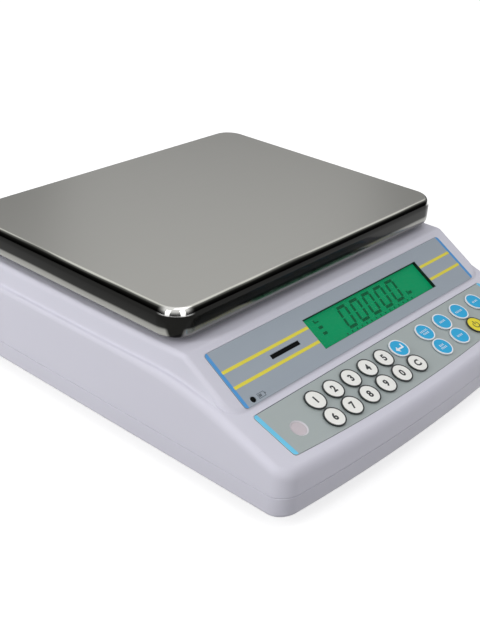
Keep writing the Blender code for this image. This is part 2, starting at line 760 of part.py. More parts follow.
def make_pan():
    edge = outline(PAN_HALF_WIDTH, -PAN_HALF_DEPTH, PAN_HALF_DEPTH, PAN_CORNER, PAN_CORNER)
    outside, inside = (
        [ring(edge, lambda y, d=d: d, lambda x, y, z=z: z) for d, z in pan_side(sheet)]
        for sheet in (0.0, PAN_SHEET)
    )
    bm = bmesh.new()
    outer = skin(bm, outside)
    inner = skin(bm, inside, inward=True)
    close(bm, outer[-1])
    close(bm, inner[-1], inward=True)
    bridge(bm, outer[0], inner[0], facing_down=True)
    add_object("weighing_pan", bm, stainless, Matrix.Translation((0.0, PAN_Y * MM, 0.0)))


def make_spider():
    bm = bmesh.new()
    box(bm, (-40.0, PAN_Y - 30.0, SPIDER_BOTTOM), (72.0, PAN_Y + 30.0, SPIDER_TOP))
    spider = add_object("pan_spider", bm, cast)
    reach = math.hypot(CUSHION_X, CUSHION_Y)
    angle = math.atan2(CUSHION_Y, CUSHION_X)
    for i, turn in enumerate((angle, -angle)):
        bm = bmesh.new()
        box(bm, (-reach, -ARM_WIDTH / 2, SPIDER_BOTTOM), (reach, ARM_WIDTH / 2, ARM_TOP))
        for x in (-reach, reach):
            cylinder(bm, 13.0, SPIDER_BOTTOM, CUSHION_BOTTOM - GAP, x, 0.0, ROUND)
        joined = Matrix.Translation((0.0, PAN_Y * MM, 0.0)) @ Matrix.Rotation(turn, 4, "Z")
        arm = add_object(f"add_arm_{i + 1}", bm, frame=joined)
        union_self(arm)
        boolean(spider, arm, "UNION")
    bm = bmesh.new()
    low = CELL_TOP + GAP
    box(bm, (POST_X - POST_HALF, PAN_Y - POST_HALF, low), (POST_X + POST_HALF, PAN_Y + POST_HALF, 90.0))
    boolean(spider, add_object("add_post", bm), "UNION")
    bm = bmesh.new()
    for x in (POST_X - BOLT_OFFSET, POST_X + BOLT_OFFSET):
        cylinder(bm, BOLT_RADIUS + GAP, low - 2.0, SPIDER_TOP + 8.0, x, PAN_Y)
        box(bm, (x - 6.0, PAN_Y - 6.0, SPIDER_TOP + 0.001), (x + 6.0, PAN_Y + 6.0, SPIDER_TOP + 9.0))
    tool = add_object("cut_spider_bolts", bm)
    union_self(tool)
    boolean(spider, tool)


def union_self(obj):
    """Joins the overlapping shapes of one tool mesh into clean bodies."""
    bm = bmesh.new()
    box(bm, (0.0, 0.0, FAR_BELOW), (1.0, 1.0, FAR_BELOW + 1.0))
    modifier = obj.modifiers.new("self union", "BOOLEAN")
    modifier.operation = "DIFFERENCE"
    modifier.solver = "EXACT"
    modifier.use_self = True
    modifier.object = add_object(obj.name + "_far", bm)


def make_cushions():
    r = CUSHION_RADIUS
    top = PAN_TOP - PAN_SHEET - GAP
    profile = [(0.0, top), (r - 1.0, top), (r, top - 1.0), (r, CUSHION_BOTTOM), (0.0, CUSHION_BOTTOM)]
    for i, (x, y) in enumerate((a, b) for a in (-CUSHION_X, CUSHION_X) for b in (-CUSHION_Y, CUSHION_Y)):
        place = Matrix.Translation((x * MM, (PAN_Y + y) * MM, 0.0))
        turned(f"pan_cushion_{i + 1}", profile, rubber, place)


def make_load_cell():
    bm = bmesh.new()
    box(
        bm,
        (-CELL_HALF_LENGTH, PAN_Y - CELL_HALF_WIDTH, CELL_BOTTOM),
        (CELL_HALF_LENGTH, PAN_Y + CELL_HALF_WIDTH, CELL_TOP),
    )
    cell = add_object("load_cell", bm, aluminium)
    middle = (CELL_BOTTOM + CELL_TOP) / 2
    bm = bmesh.new()
    for x in (-CELL_HOLE_X, CELL_HOLE_X):
        cylinder(bm, CELL_HOLE, PAN_Y - 20.0, PAN_Y + 20.0, x, middle, ROUND, axis="Y")
    for x in (-POST_X - BOLT_OFFSET, -POST_X + BOLT_OFFSET):
        cylinder(bm, BOLT_RADIUS + GAP, CELL_BOTTOM - 1.0, 40.0, x, PAN_Y)
    for x in (POST_X - BOLT_OFFSET, POST_X + BOLT_OFFSET):
        cylinder(bm, BOLT_RADIUS + GAP, 34.0, CELL_TOP + 1.0, x, PAN_Y)
    boolean(cell, add_object("cut_cell_holes", bm))
    bm = bmesh.new()
    box(bm, (-CELL_HOLE_X, PAN_Y - 20.0, middle - 1.5), (CELL_HOLE_X, PAN_Y + 20.0, middle + 1.5))
    boolean(cell, add_object("cut_cell_slot", bm))


def make_cell_mount():
    bm = bmesh.new()
    box(bm, (-80.0, PAN_Y - 50.0, PLATE_BOTTOM), (80.0, PAN_Y + 50.0, PLATE_TOP))
    plate = add_object("cell_mount", bm, steel)
    bm = bmesh.new()
    box(
        bm,
        (-CELL_HALF_LENGTH, PAN_Y - CELL_HALF_WIDTH, PLATE_TOP - 1.0),
        (-POST_X + POST_HALF, PAN_Y + CELL_HALF_WIDTH, CELL_BOTTOM - GAP),
    )
    boolean(plate, add_object("add_riser", bm), "UNION")
    bm = bmesh.new()
    for x in (-POST_X - BOLT_OFFSET, -POST_X + BOLT_OFFSET):
        cylinder(bm, BOLT_RADIUS + GAP, PLATE_BOTTOM - 1.0, CELL_BOTTOM + 1.0, x, PAN_Y)
    cylinder(bm, BOLT_RADIUS + GAP, PLATE_BOTTOM - 1.0, PLATE_TOP + 1.0, POST_X, PAN_Y)
    boolean(plate, add_object("cut_plate_holes", bm))


def make_bolts():
    r = BOLT_RADIUS
    under = PLATE_BOTTOM - GAP
    up = [(0.0, 38.0), (r, 38.0), (r, under), (4.2, under), (4.2, 14.0), (0.0, 14.0)]
    top = SPIDER_TOP + GAP
    down = [(0.0, top + 4.0), (4.6, top + 4.0), (4.6, top), (r, top), (r, 36.0), (0.0, 36.0)]
    for i, side in enumerate((-BOLT_OFFSET, BOLT_OFFSET)):
        place = Matrix.Translation(((side - POST_X) * MM, PAN_Y * MM, 0.0))
        turned(f"cell_bolt_{i + 1}", up, steel, place, SMALL_ROUND)
        place = Matrix.Translation(((side + POST_X) * MM, PAN_Y * MM, 0.0))
        turned(f"spider_bolt_{i + 1}", down, steel, place, SMALL_ROUND)
    stop = [(0.0, 25.4), (r, 25.4), (r, 15.0), (0.0, 15.0)]
    place = Matrix.Translation((POST_X * MM, PAN_Y * MM, 0.0))
    turned("overload_stop", stop, steel, place, SMALL_ROUND)


# --- power and electronics ---


def make_battery():
    bm = bmesh.new()
    box(
        bm,
        (BATTERY_X - BATTERY_HALF_X, BATTERY_Y - BATTERY_HALF_Y, BATTERY_LOW),
        (BATTERY_X + BATTERY_HALF_X, BATTERY_Y + BATTERY_HALF_Y, BATTERY_TOP),
    )
    battery = add_object("battery", bm, dark_plastic)
    bm = bmesh.new()
    side = BATTERY_X - BATTERY_HALF_X
    for y in (BATTERY_Y - 20.0, BATTERY_Y + 20.0):
        box(bm, (side - 5.0, y - 3.0, 50.0), (side + 1.0, y + 3.0, 56.0))
    boolean(battery, add_object("add_terminals", bm), "UNION")


def make_main_board():
    bm = bmesh.new()
    top = BOARD_LOW + BOARD_THICKNESS
    box(bm, (BOARD_LEFT, BOARD_FRONT, BOARD_LOW), (BOARD_RIGHT, BOARD_BACK, top))
    main_board = add_object("main_board", bm, board)
    bm = bmesh.new()
    for low, high in (
        ((-112.0, 112.0), (-96.0, 128.0)),
        ((-90.0, 108.0), (-62.0, 120.0)),
        ((-54.0, 128.0), (-40.0, 150.0)),
    ):
        box(bm, (*low, top - 0.6), (*high, top + 4.4))
    boolean(main_board, add_object("add_chips", bm), "UNION")


def make_connectors():
    floor = BAY_FLOOR
    bm = bmesh.new()
    cylinder(bm, 5.5, floor - 14.0, floor + 4.0, INLET_X, PORT_Z, ROUND, axis="Y")
    inlet = add_object("power_inlet", bm, dark_plastic)
    bm = bmesh.new()
    cylinder(bm, 7.5, floor + GAP, floor + 1.8, INLET_X, PORT_Z, ROUND, axis="Y")
    boolean(inlet, add_object("add_inlet_flange", bm), "UNION")
    bm = bmesh.new()
    cylinder(bm, 3.2, floor - 6.0, floor + 6.0, INLET_X, PORT_Z, SMALL_ROUND, axis="Y")
    boolean(inlet, add_object("cut_inlet_bore", bm))
    bm = bmesh.new()
    cylinder(bm, 1.0, floor - 8.0, floor + 3.0, INLET_X, PORT_Z, SMALL_ROUND, axis="Y")
    boolean(inlet, add_object("add_inlet_pin", bm), "UNION")

    facing = Matrix.Translation((PORT_X * MM, floor * MM, PORT_Z * MM))
    facing = facing @ Matrix.Rotation(math.radians(-90.0), 4, "X")
    bm = bmesh.new()
    box(bm, (-15.5, -6.2, GAP), (15.5, 6.2, 1.2))
    port = add_object("serial_port", bm, steel, facing)
    bm = bmesh.new()
    prism(bm, [(-7.4, -4.1), (7.4, -4.1), (8.4, 4.1), (-8.4, 4.1)], -12.0, 6.0)
    for x in (-12.5, 12.5):
        cylinder(bm, 2.4, 0.8, 5.5, x, 0.0, 6)
    boolean(port, add_object("add_port_shell", bm, frame=facing), "UNION")


def make_cell_cable():
    """The load cell's lead, from the side of the cell over the plate to the main board."""
    route = [(-40.0, 54.8, 36.0), (-40.0, 60.0, 36.0), (-43.0, 68.0, 33.0), (-49.0, 78.0, 28.0)]
    route += [(-57.0, 87.0, 25.8), (-66.0, 94.0, 24.8), (-74.0, 100.0, 24.4), (-76.0, 104.0, 24.0)]
    route += [(-76.0, 107.5, 24.0)]
    curve = bpy.data.curves.new("cell_cable", "CURVE")
    curve.dimensions = "3D"
    curve.bevel_depth = 1.6 * MM
    curve.bevel_resolution = 2
    curve.use_fill_caps = True
    spline = curve.splines.new("POLY")
    spline.points.add(len(route) - 1)
    for point, place in zip(spline.points, route):
        point.co = (*(Vector(place) * MM), 1.0)
    curve.materials.append(rubber)
    parts.objects.link(bpy.data.objects.new("cell_cable", curve))


clear_scene()
parts = new_collection("counting_scale")
tools = new_collection("cutters")

case_plastic = material("case_plastic", (0.60, 0.59, 0.66), 0.45)
stainless = material("stainless", (0.56, 0.56, 0.54), 0.28, 1.0)
cast = material("cast_aluminium", (0.50, 0.51, 0.52), 0.5, 1.0)
aluminium = material("aluminium", (0.70, 0.71, 0.72), 0.35, 1.0)
steel = material("steel", (0.45, 0.45, 0.46), 0.35, 1.0)
rubber = material("rubber", (0.03, 0.03, 0.03), 0.8)
dark_plastic = material("dark_plastic", (0.04, 0.04, 0.045), 0.5)
dark_lens = material("dark_lens", (0.01, 0.01, 0.012), 0.2)
label_film = material("label_film", (0.40, 0.46, 0.48), 0.4)
clear = material("clear", (0.85, 0.95, 0.90), 0.05)
lcd_green = material("lcd_green", (0.02, 0.34, 0.13), 0.3)
vial_liquid = material("vial_liquid", (0.60, 0.62, 0.45), 0.1)
board = material("board", (0.03, 0.22, 0.09), 0.5)
key_white = material("key_white", (0.85, 0.85, 0.80), 0.4)
key_blue = material("key_blue", (0.03, 0.42, 0.80), 0.4)
key_yellow = material("key_yellow", (0.85, 0.72, 0.04), 0.4)

display_top_z = CREASE_Z + (DISPLAY_TOP_Y - CREASE_Y) * math.tan(DISPLAY_SLOPE)
display_frame = Matrix.Translation((0.0, DISPLAY_TOP_Y * MM, display_top_z * MM))
display_frame = display_frame @ Matrix.Rotation(DISPLAY_SLOPE, 4, "X")
keypad_frame = Matrix.Translation((0.0, CREASE_Y * MM, CREASE_Z * MM))
keypad_frame = keypad_frame @ Matrix.Rotation(KEYPAD_SLOPE, 4, "X")

display_tools = display_cutters()
keypad_tools = keypad_cutters()
make_upper_case(display_tools, keypad_tools)
make_lower_case()
make_battery_cover()
make_case_screws()
make_feet()
make_display(display_tools[1])
make_keypad(keypad_tools[1])
make_keys()
make_pan()
make_spider()
make_cushions()
make_load_cell()
make_cell_mount()
make_bolts()
make_battery()
make_main_board()
make_connectors()
make_cell_cable()
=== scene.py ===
"""Looks of the counting scale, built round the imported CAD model.

World frame: metres, +Z up, the front faces -Y. Lengths of shapes are millimetres, and MM turns them
into metres. Sizes of lights, their distances and the depths of bumps are metres.
"""

import math

import bmesh
import bpy
from mathutils import Matrix, Vector


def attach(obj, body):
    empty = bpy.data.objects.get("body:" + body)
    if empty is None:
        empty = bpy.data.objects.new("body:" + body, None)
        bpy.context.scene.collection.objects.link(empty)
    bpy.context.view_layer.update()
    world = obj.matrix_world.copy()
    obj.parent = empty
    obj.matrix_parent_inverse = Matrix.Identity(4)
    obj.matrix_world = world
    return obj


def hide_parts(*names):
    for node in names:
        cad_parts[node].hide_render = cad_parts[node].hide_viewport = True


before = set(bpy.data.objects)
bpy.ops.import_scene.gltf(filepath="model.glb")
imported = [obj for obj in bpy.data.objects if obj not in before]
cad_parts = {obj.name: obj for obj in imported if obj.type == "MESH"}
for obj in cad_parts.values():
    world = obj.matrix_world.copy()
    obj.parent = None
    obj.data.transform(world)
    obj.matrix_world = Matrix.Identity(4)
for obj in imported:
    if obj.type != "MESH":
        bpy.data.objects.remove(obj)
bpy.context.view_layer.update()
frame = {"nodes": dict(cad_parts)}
nodes = frame["nodes"]

MM = 0.001
GAP = 0.3  # clearance between pieces that touch

# --- places that the pieces share with the CAD model ---

CASE_HALF_WIDTH, CASE_HALF_DEPTH = 157.5, 177.5
CASE_BOTTOM, SEAM, LEDGE, DECK, WALL = 11.0, 26.0, 70.0, 85.0, 2.2
FRONT_BOW, FRONT_CORNER, BACK_CORNER, WALL_LEAN = 8.0, 14.0, 12.0, 1.0
LEDGE_ARC, FOLD_ARC = 200.0, 6.0
BLOCK_HALF_WIDTH, BLOCK_BACK = 152.6, 172.4
BLOCK_FRONT_CORNER, BLOCK_BACK_CORNER, BLOCK_EDGE = 16.0, 10.0, 4.0
DISPLAY_SLOPE, KEYPAD_SLOPE = math.radians(31.5), math.radians(18.0)
CREASE_Y, CREASE_Z, DISPLAY_TOP_Y = -125.3, 56.8, -84.1
LABEL_HALF_WIDTH, DISPLAY_LABEL_DEPTH = 136.6, 43.3
KEYPAD_LABEL_TOP, KEYPAD_LABEL_BOTTOM, KEYPAD_BOW = 0.8, 43.0, 6.2
LABEL_PROUD, LABEL_CORNER = 0.2, 2.5
LCD_LEFT, LCD_RIGHT, LCD_TOP, LCD_BOTTOM = -47.4, 92.0, 9.7, 35.0
STATUS_X, STATUS_DEPTH, STATUS_LENGTH, STATUS_WIDTH = -77.7, 22.0, 28.4, 2.8
LAMP_X, LAMP_DEPTH, LAMP_RADIUS = -127.1, 39.9, 1.9
LEVEL_X, LEVEL_DEPTH, LEVEL_RADIUS = -117.0, 23.2, 6.0
KEY_RADIUS, KEY_STEM, KEY_LOW, KEY_HIGH, KEY_STEM_END = 7.9, 4.5, 0.8, 1.6, -3.7
KEY_ROWS = (13.6, 30.1)
NUMBER_KEY_X, NUMBER_KEY_PITCH, FUNCTION_KEY_X, FUNCTION_KEY_PITCH = -89.6, 19.1, 39.2, 23.6
NUMBER_KEYS = (
    ("key_1", "key_2", "key_3", "key_4", "key_5", "key_print"),
    ("key_6", "key_7", "key_8", "key_9", "key_0", "key_clear"),
)
FUNCTION_KEYS = (
    ("key_f1", "key_f2", "key_f3", "key_f4"),
    ("key_f5", "key_f6", "key_power", "key_f7"),
)
BLUE_KEYS = ("key_print", "key_f1", "key_f2", "key_f3", "key_f4", "key_f5", "key_f6", "key_f7")
PAN_HALF_WIDTH, PAN_HALF_DEPTH, PAN_Y, PAN_TOP, PAN_RIM = 150.0, 112.5, 39.5, 110.0, 89.5
PAN_SHEET, PAN_CORNER = 1.2, 18.0
DECK_HOLE, POST_X = 27.0, 51.0
FOOT_X, FOOT_FRONT_Y, FOOT_BACK_Y = 130.0, -135.0, 148.0
FOOT_RADIUS, STUD_RADIUS, STUD_TOP = 11.0, 3.0, 21.0
SCREW_X, SCREW_FRONT_Y, SCREW_BACK_Y, SCREW_HEAD_SEAT, POST_RADIUS = 135.0, -95.0, 118.0, 18.9, 5.0
BATTERY_X, BATTERY_Y, COVER_HALF_X, COVER_HALF_Y = 70.0, 131.0, 42.0, 32.0
BAY_LEFT, BAY_RIGHT, BAY_LOW, BAY_HIGH, BAY_FLOOR = -115.0, -40.0, 29.0, 60.0, 167.5
INLET_X, PORT_X, PORT_Z = -57.0, -93.0, 44.0

# --- what the visual model adds, or has finer ---

CORNER_STEPS, FRONT_STEPS, FOLD_STEPS, EDGE_STEPS = 10, 18, 6, 7
LABEL_STEPS, LABEL_CORNER_STEPS = 24, 8
AHEAD_OF_FOLD = (-108.5, -107.0, -105.0, -102.5, -100.0, -97.0, -94.0, -91.0, -88.0)
BEHIND_FOLD = (-70.0, -62.0, -54.0, -30.0, 0.0, 40.0, 80.0, 120.0, 152.0)
BOW_FADE = 45.0  # how far back from the front its bow has died out
FRONT_REACH = 110.0  # how far ahead of the middle the ledge has its front shape
SHOULDER_WIDTH, SHOULDER_DROP = (3.4, 5.2), (4.0, 7.0)  # the ledge's rounded edge, at back and front
SOLE_LEAN, SOLE_IN, SOLE_UP = 0.4, 2.8, 3.4  # the rounded bottom edge of the lower case
BLOCK_TAPER = 1.8  # how much further in the block's foot stands at the front
FILLET = 2.2  # radius of the hollow where the block stands on the ledge
PAN_FOLD_IN, PAN_FOLD_DOWN, PAN_HEM_IN, PAN_HEM_UP = 4.2, 7.5, 2.6, 4.0
PRINT_LOW, PRINT_HIGH = LABEL_PROUD + 0.01, LABEL_PROUD + 0.05  # ink on a label
PRINT_EDGE = 0.12  # how far a label's bars stay inside its outline
STRIPE_DEPTHS = ((14.9, 17.2), (27.1, 29.4))
LCD_FACE, LCD_INK = -2.58, -2.5
DIGIT_LEFT, DIGIT_PITCH, DIGIT_WIDTH, DIGIT_TOP, DIGIT_BASE = -12.6, 14.9, 10.6, 12.2, 30.8
DIGIT_STROKE, DIGIT_LEAN, DIGIT_GAP = 2.3, 0.12, 0.3
LEGEND_LOW, LEGEND_HIGH = KEY_HIGH - 0.03, KEY_HIGH + 0.02

# Rectangles as left, right, top and bottom, across and down the slope
CHARGE_ICON = (
    (-122.4, -116.0, 38.0, 38.4), (-122.4, -116.0, 41.3, 41.7), (-122.4, -122.0, 38.4, 41.3),
    (-116.4, -116.0, 38.4, 41.3), (-116.0, -115.2, 39.2, 40.5), (-121.5, -119.0, 38.9, 40.8),
)
LCD_MARKS = (
    (-37.0, -35.8, 12.6, 15.4), (-35.8, -32.2, 14.4, 15.4), (-36.6, -32.4, 18.4, 20.6),
    (-36.6, -32.4, 23.4, 25.6), (63.0, 64.4, 26.0, 29.6), (65.0, 68.4, 27.2, 29.6),
)

# Painted reflections up the pan's skirt, held in its base colour: a lighter hem stands for mirrored
# floor, a dark band for a dark horizon and a near-white top line for a painted highlight; share of its
# height, value
SKIRT_PAINTED_REFLECTIONS = (
    (0.0, 0.16), (0.15, 0.30), (0.29, 0.22), (0.36, 0.017),
    (0.70, 0.010), (0.93, 0.02), (0.97, 0.18), (0.988, 0.9),
)
# Painted on the drawn corners: a near-white glint round the fold, and a dark painted reflection narrowing
# to the hem
CORNER_PAINTED_GLINT, CORNER_PAINTED_DARK = (0.92, 0.92, 0.90), (0.012, 0.012, 0.011)

display_top_z = CREASE_Z + (DISPLAY_TOP_Y - CREASE_Y) * math.tan(DISPLAY_SLOPE)
DISPLAY_FRAME = Matrix.Translation((0.0, DISPLAY_TOP_Y * MM, display_top_z * MM))
DISPLAY_FRAME = DISPLAY_FRAME @ Matrix.Rotation(DISPLAY_SLOPE, 4, "X")
KEYPAD_FRAME = Matrix.Translation((0.0, CREASE_Y * MM, CREASE_Z * MM))
KEYPAD_FRAME = KEYPAD_FRAME @ Matrix.Rotation(KEYPAD_SLOPE, 4, "X")


# --- materials ---


def srgb(r, g, b):
    """Linear colour from the usual 0 to 255 screen values."""
    out = []
    for v in (r, g, b):
        v = v / 255.0
        out.append(v / 12.92 if v <= 0.04045 else ((v + 0.055) / 1.055) ** 2.4)
    return out


class Finish:
    """A Principled material whose colour, roughness and bump come from noise in object space."""

    def __init__(self, name, colour, roughness, metallic=0.0):
        self.mat = bpy.data.materials.new(name)
        self.mat.use_nodes = True
        self.tree = self.mat.node_tree
        self.shader = self.tree.nodes["Principled BSDF"]
        self.colour = colour
        self.shader.inputs["Metallic"].default_value = metallic
        self.coords = self.tree.nodes.new("ShaderNodeTexCoord").outputs["Object"]
        self.roughness = roughness
        self.height = None

    def noise(self, scale, detail=2.0, stretch=(1.0, 1.0, 1.0)):
        mapping = self.tree.nodes.new("ShaderNodeMapping")
        mapping.inputs["Scale"].default_value = stretch
        self.tree.links.new(self.coords, mapping.inputs["Vector"])
        node = self.tree.nodes.new("ShaderNodeTexNoise")
        node.inputs["Scale"].default_value = scale
        node.inputs["Detail"].default_value = detail
        self.tree.links.new(mapping.outputs["Vector"], node.inputs["Vector"])
        return node.outputs["Fac"]

    def mottle(self, scale, amount, stretch=(1.0, 1.0, 1.0)):
        """Colour that drifts by amount either way."""
        ramp = self.tree.nodes.new("ShaderNodeValToRGB")
        ramp.color_ramp.elements[0].position = 0.3
        ramp.color_ramp.elements[1].position = 0.7
        ramp.color_ramp.elements[0].color = (*[c * (1.0 - amount) for c in self.colour], 1.0)
        ramp.color_ramp.elements[1].color = (*[min(c * (1.0 + amount), 1.0) for c in self.colour], 1.0)
        self.tree.links.new(self.noise(scale, 3.0, stretch), ramp.inputs["Fac"])
        self.tree.links.new(ramp.outputs["Color"], self.shader.inputs["Base Color"])
        return self

    def satin(self, scale, amount, stretch=(1.0, 1.0, 1.0)):
        """Roughness that drifts by amount either way."""
        noise = self.noise(scale, 3.0, stretch)
        drift = self.stretched(noise, 0.3, 0.7, self.roughness - amount, self.roughness + amount)
        self.tree.links.new(drift, self.shader.inputs["Roughness"])
        return self

    def stretched(self, source, start, end, low=0.0, high=1.0, kind="LINEAR"):
        """low where the source is at start and high where it is at end."""
        node = self.tree.nodes.new("ShaderNodeMapRange")
        node.interpolation_type = kind
        for socket, value in zip(("From Min", "From Max", "To Min", "To Max"), (start, end, low, high)):
            node.inputs[socket].default_value = value
        self.tree.links.new(source, node.inputs["Value"])
        return node.outputs["Result"]

    def worked_out(self, operation, *terms):
        """The result of a Math node whose terms are sockets or numbers."""
        node = self.tree.nodes.new("ShaderNodeMath")
        node.operation = operation
        for socket, term in zip(node.inputs, terms):
            if isinstance(term, float):
                socket.default_value = term
            else:
                self.tree.links.new(term, socket)
        return node.outputs["Value"]

    def mixed(self, factor, source, colour):
        """The source where the factor is 0 and the plain colour where it is 1."""
        node = self.tree.nodes.new("ShaderNodeMix")
        node.data_type = "RGBA"
        self.tree.links.new(factor, node.inputs["Factor"])
        self.tree.links.new(source, node.inputs["A"])
        node.inputs["B"].default_value = (*colour, 1.0)
        return node.outputs["Result"]

    def bands(self):
        """Painted reflections round the skirt, held in the base colour: a lighter hem and a dark band
        stand for mirrored floor and horizon, and a near-white fold for a painted highlight.

        The drawn corners get a painted glint round the fold, and a painted dark reflection narrows from
        there to the hem.
        """
        tree, links = self.tree, self.tree.links
        split = tree.nodes.new("ShaderNodeSeparateXYZ")
        links.new(self.coords, split.inputs["Vector"])
        level = self.stretched(split.outputs["Z"], PAN_RIM * MM, PAN_TOP * MM)
        waver = self.stretched(self.noise(9.0, 2.0), 0.0, 1.0, -0.05, 0.05)
        ramp = tree.nodes.new("ShaderNodeValToRGB")
        elements = ramp.color_ramp.elements
        for k, (place, value) in enumerate(SKIRT_PAINTED_REFLECTIONS):
            element = elements[k] if k < 2 else elements.new(place)
            element.position = place
            element.color = (value, value, value * 0.93, 1.0)
        links.new(self.worked_out("ADD", level, waver), ramp.inputs["Fac"])

        closeness = self.near_corner(split)
        # painted glint: near-white base colour on the corners' fold
        round_fold = self.stretched(level, 0.75, 0.81)
        painted_glint = self.worked_out("MULTIPLY", self.stretched(closeness, 0.0, 0.3), round_fold)
        colour = self.mixed(painted_glint, ramp.outputs["Color"], CORNER_PAINTED_GLINT)
        # painted dark reflection down the corners, narrower towards the hem
        below_fold = self.stretched(level, 0.76, 0.66)
        narrowing = self.worked_out("MULTIPLY_ADD", level, 0.5, closeness)
        painted_dark_wedge = self.worked_out("MULTIPLY", self.stretched(narrowing, 0.60, 0.80), below_fold)
        links.new(self.mixed(painted_dark_wedge, colour, CORNER_PAINTED_DARK), self.shader.inputs["Base Color"])
        return self

    def near_corner(self, split):
        """Nearly 1 on the drawn corners of the pan and 0 along its sides."""
        factors = []
        for axis, half in (("X", PAN_HALF_WIDTH), ("Y", PAN_HALF_DEPTH)):
            size = self.worked_out("ABSOLUTE", split.outputs[axis])
            ends = ((half - PAN_CORNER) * MM, (half - 3.0) * MM)
            factors.append(self.stretched(size, *ends, kind="SMOOTHSTEP"))
        return self.worked_out("MULTIPLY", *factors)

    def bump(self, scale, depth, stretch=(1.0, 1.0, 1.0), detail=2.0):
        """Fine relief, depth in metres; a second call adds to the first."""
        node = self.tree.nodes.new("ShaderNodeBump")
        node.inputs["Strength"].default_value = 1.0
        node.inputs["Distance"].default_value = depth
        self.tree.links.new(self.noise(scale, detail, stretch), node.inputs["Height"])
        if self.height is not None:
            self.tree.links.new(self.height, node.inputs["Normal"])
        self.height = node.outputs["Normal"]
        self.tree.links.new(self.height, self.shader.inputs["Normal"])
        return self

    def set(self, socket, value):
        self.shader.inputs[socket].default_value = value
        return self


def plastic(name, colour, roughness, grain=1400.0, depth=0.00001, drift=0.02):
    finish = Finish(name, colour, roughness)
    finish.mottle(35.0, drift).satin(60.0, 0.05).bump(grain, depth, detail=1.0)
    return finish


case_finish = Finish("case_plastic_grain", srgb(214, 213, 224), 0.42)
case_finish.mottle(9.0, 0.012).satin(40.0, 0.05).bump(2200.0, 0.000008, detail=1.0).bump(30.0, 0.00002)
case_plastic = case_finish.set("Specular IOR Level", 0.32).mat
label_display = plastic("label_display_print", srgb(158, 168, 178), 0.36, 900.0, 0.000004, 0.012).mat
label_keypad = plastic("label_keypad_print", srgb(168, 177, 176), 0.36, 900.0, 0.000004, 0.012).mat
stripe_yellow = plastic("stripe_yellow_ink", srgb(232, 217, 66), 0.4, 1500.0, 0.000003, 0.03).mat
bar_blue = plastic("bar_blue_ink", srgb(72, 152, 216), 0.4, 1500.0, 0.000003, 0.03).mat
bar_sky = plastic("bar_sky_ink", srgb(108, 202, 238), 0.4, 1500.0, 0.000003, 0.03).mat
ink_black = plastic("ink_black", srgb(38, 42, 44), 0.4, 1500.0, 0.000003, 0.06).mat
ink_grey = plastic("ink_grey", srgb(96, 104, 112), 0.4, 1500.0, 0.000003, 0.06).mat
ink_white = plastic("ink_white", srgb(236, 240, 244), 0.4, 1500.0, 0.000003, 0.02).mat
white_key = plastic("key_white_face", srgb(243, 243, 238), 0.38, 1200.0, 0.000005, 0.012).mat
blue_key = plastic("key_blue_face", srgb(24, 172, 224), 0.42, 1200.0, 0.000005, 0.02).mat
yellow_key = plastic("key_yellow_face", srgb(240, 224, 40), 0.38, 1200.0, 0.000005, 0.02).mat
dark_plastic = plastic("dark_plastic_grain", srgb(44, 44, 47), 0.45, 1500.0, 0.00001, 0.08).mat
bezel_dark = plastic("bezel_dark_grain", srgb(14, 30, 24), 0.5, 1500.0, 0.000008, 0.08).mat
dark_lens_finish = plastic("dark_lens_gloss", srgb(6, 10, 11), 0.35, 400.0, 0.000001, 0.1)
dark_lens = dark_lens_finish.set("Specular IOR Level", 0.06).mat
rubber = plastic("rubber_grain", srgb(40, 40, 41), 0.75, 1800.0, 0.00003, 0.12).mat
lcd_ink_finish = plastic("lcd_segment", srgb(4, 80, 50), 0.45, 1500.0, 0.000002, 0.05)
lcd_ink_finish.set("Emission Color", (*srgb(0, 90, 56), 1.0)).set("Emission Strength", 0.3)
lcd_ink = lcd_ink_finish.set("Specular IOR Level", 0.15).mat
vial_back = plastic("vial_pale", srgb(206, 203, 208), 0.3, 500.0, 0.000003, 0.03).mat
bubble = plastic("bubble_pale", srgb(232, 230, 234), 0.15, 500.0, 0.000002, 0.02).mat

lcd_finish = Finish("lcd_backlit", srgb(2, 122, 78), 0.45).mottle(28.0, 0.05).satin(80.0, 0.04)
lcd_finish.bump(600.0, 0.000002).set("Emission Color", (*srgb(0, 166, 106), 1.0))
lcd = lcd_finish.set("Emission Strength", 0.36).set("Specular IOR Level", 0.15).mat

clear_finish = Finish("clear_pane", srgb(20, 70, 46), 0.06).mottle(20.0, 0.02).satin(60.0, 0.02)
clear_finish.bump(90.0, 0.000002).set("Alpha", 0.05)
clear = clear_finish.set("Specular IOR Level", 0.2).mat
milky_finish = Finish("level_lens_milky", srgb(226, 216, 221), 0.25)
milky_finish.mottle(160.0, 0.02).satin(60.0, 0.02).bump(90.0, 0.000002)
milky = milky_finish.set("Alpha", 0.72).mat

BRUSHED = (0.02, 1.0, 1.0)  # grain that runs along X
pan_finish = Finish("stainless_satin", (0.59, 0.585, 0.56), 0.28, 1.0)
pan_finish.mottle(900.0, 0.006, BRUSHED).satin(700.0, 0.004, BRUSHED)
pan_satin = pan_finish.bump(2600.0, 0.00000005, BRUSHED).mat
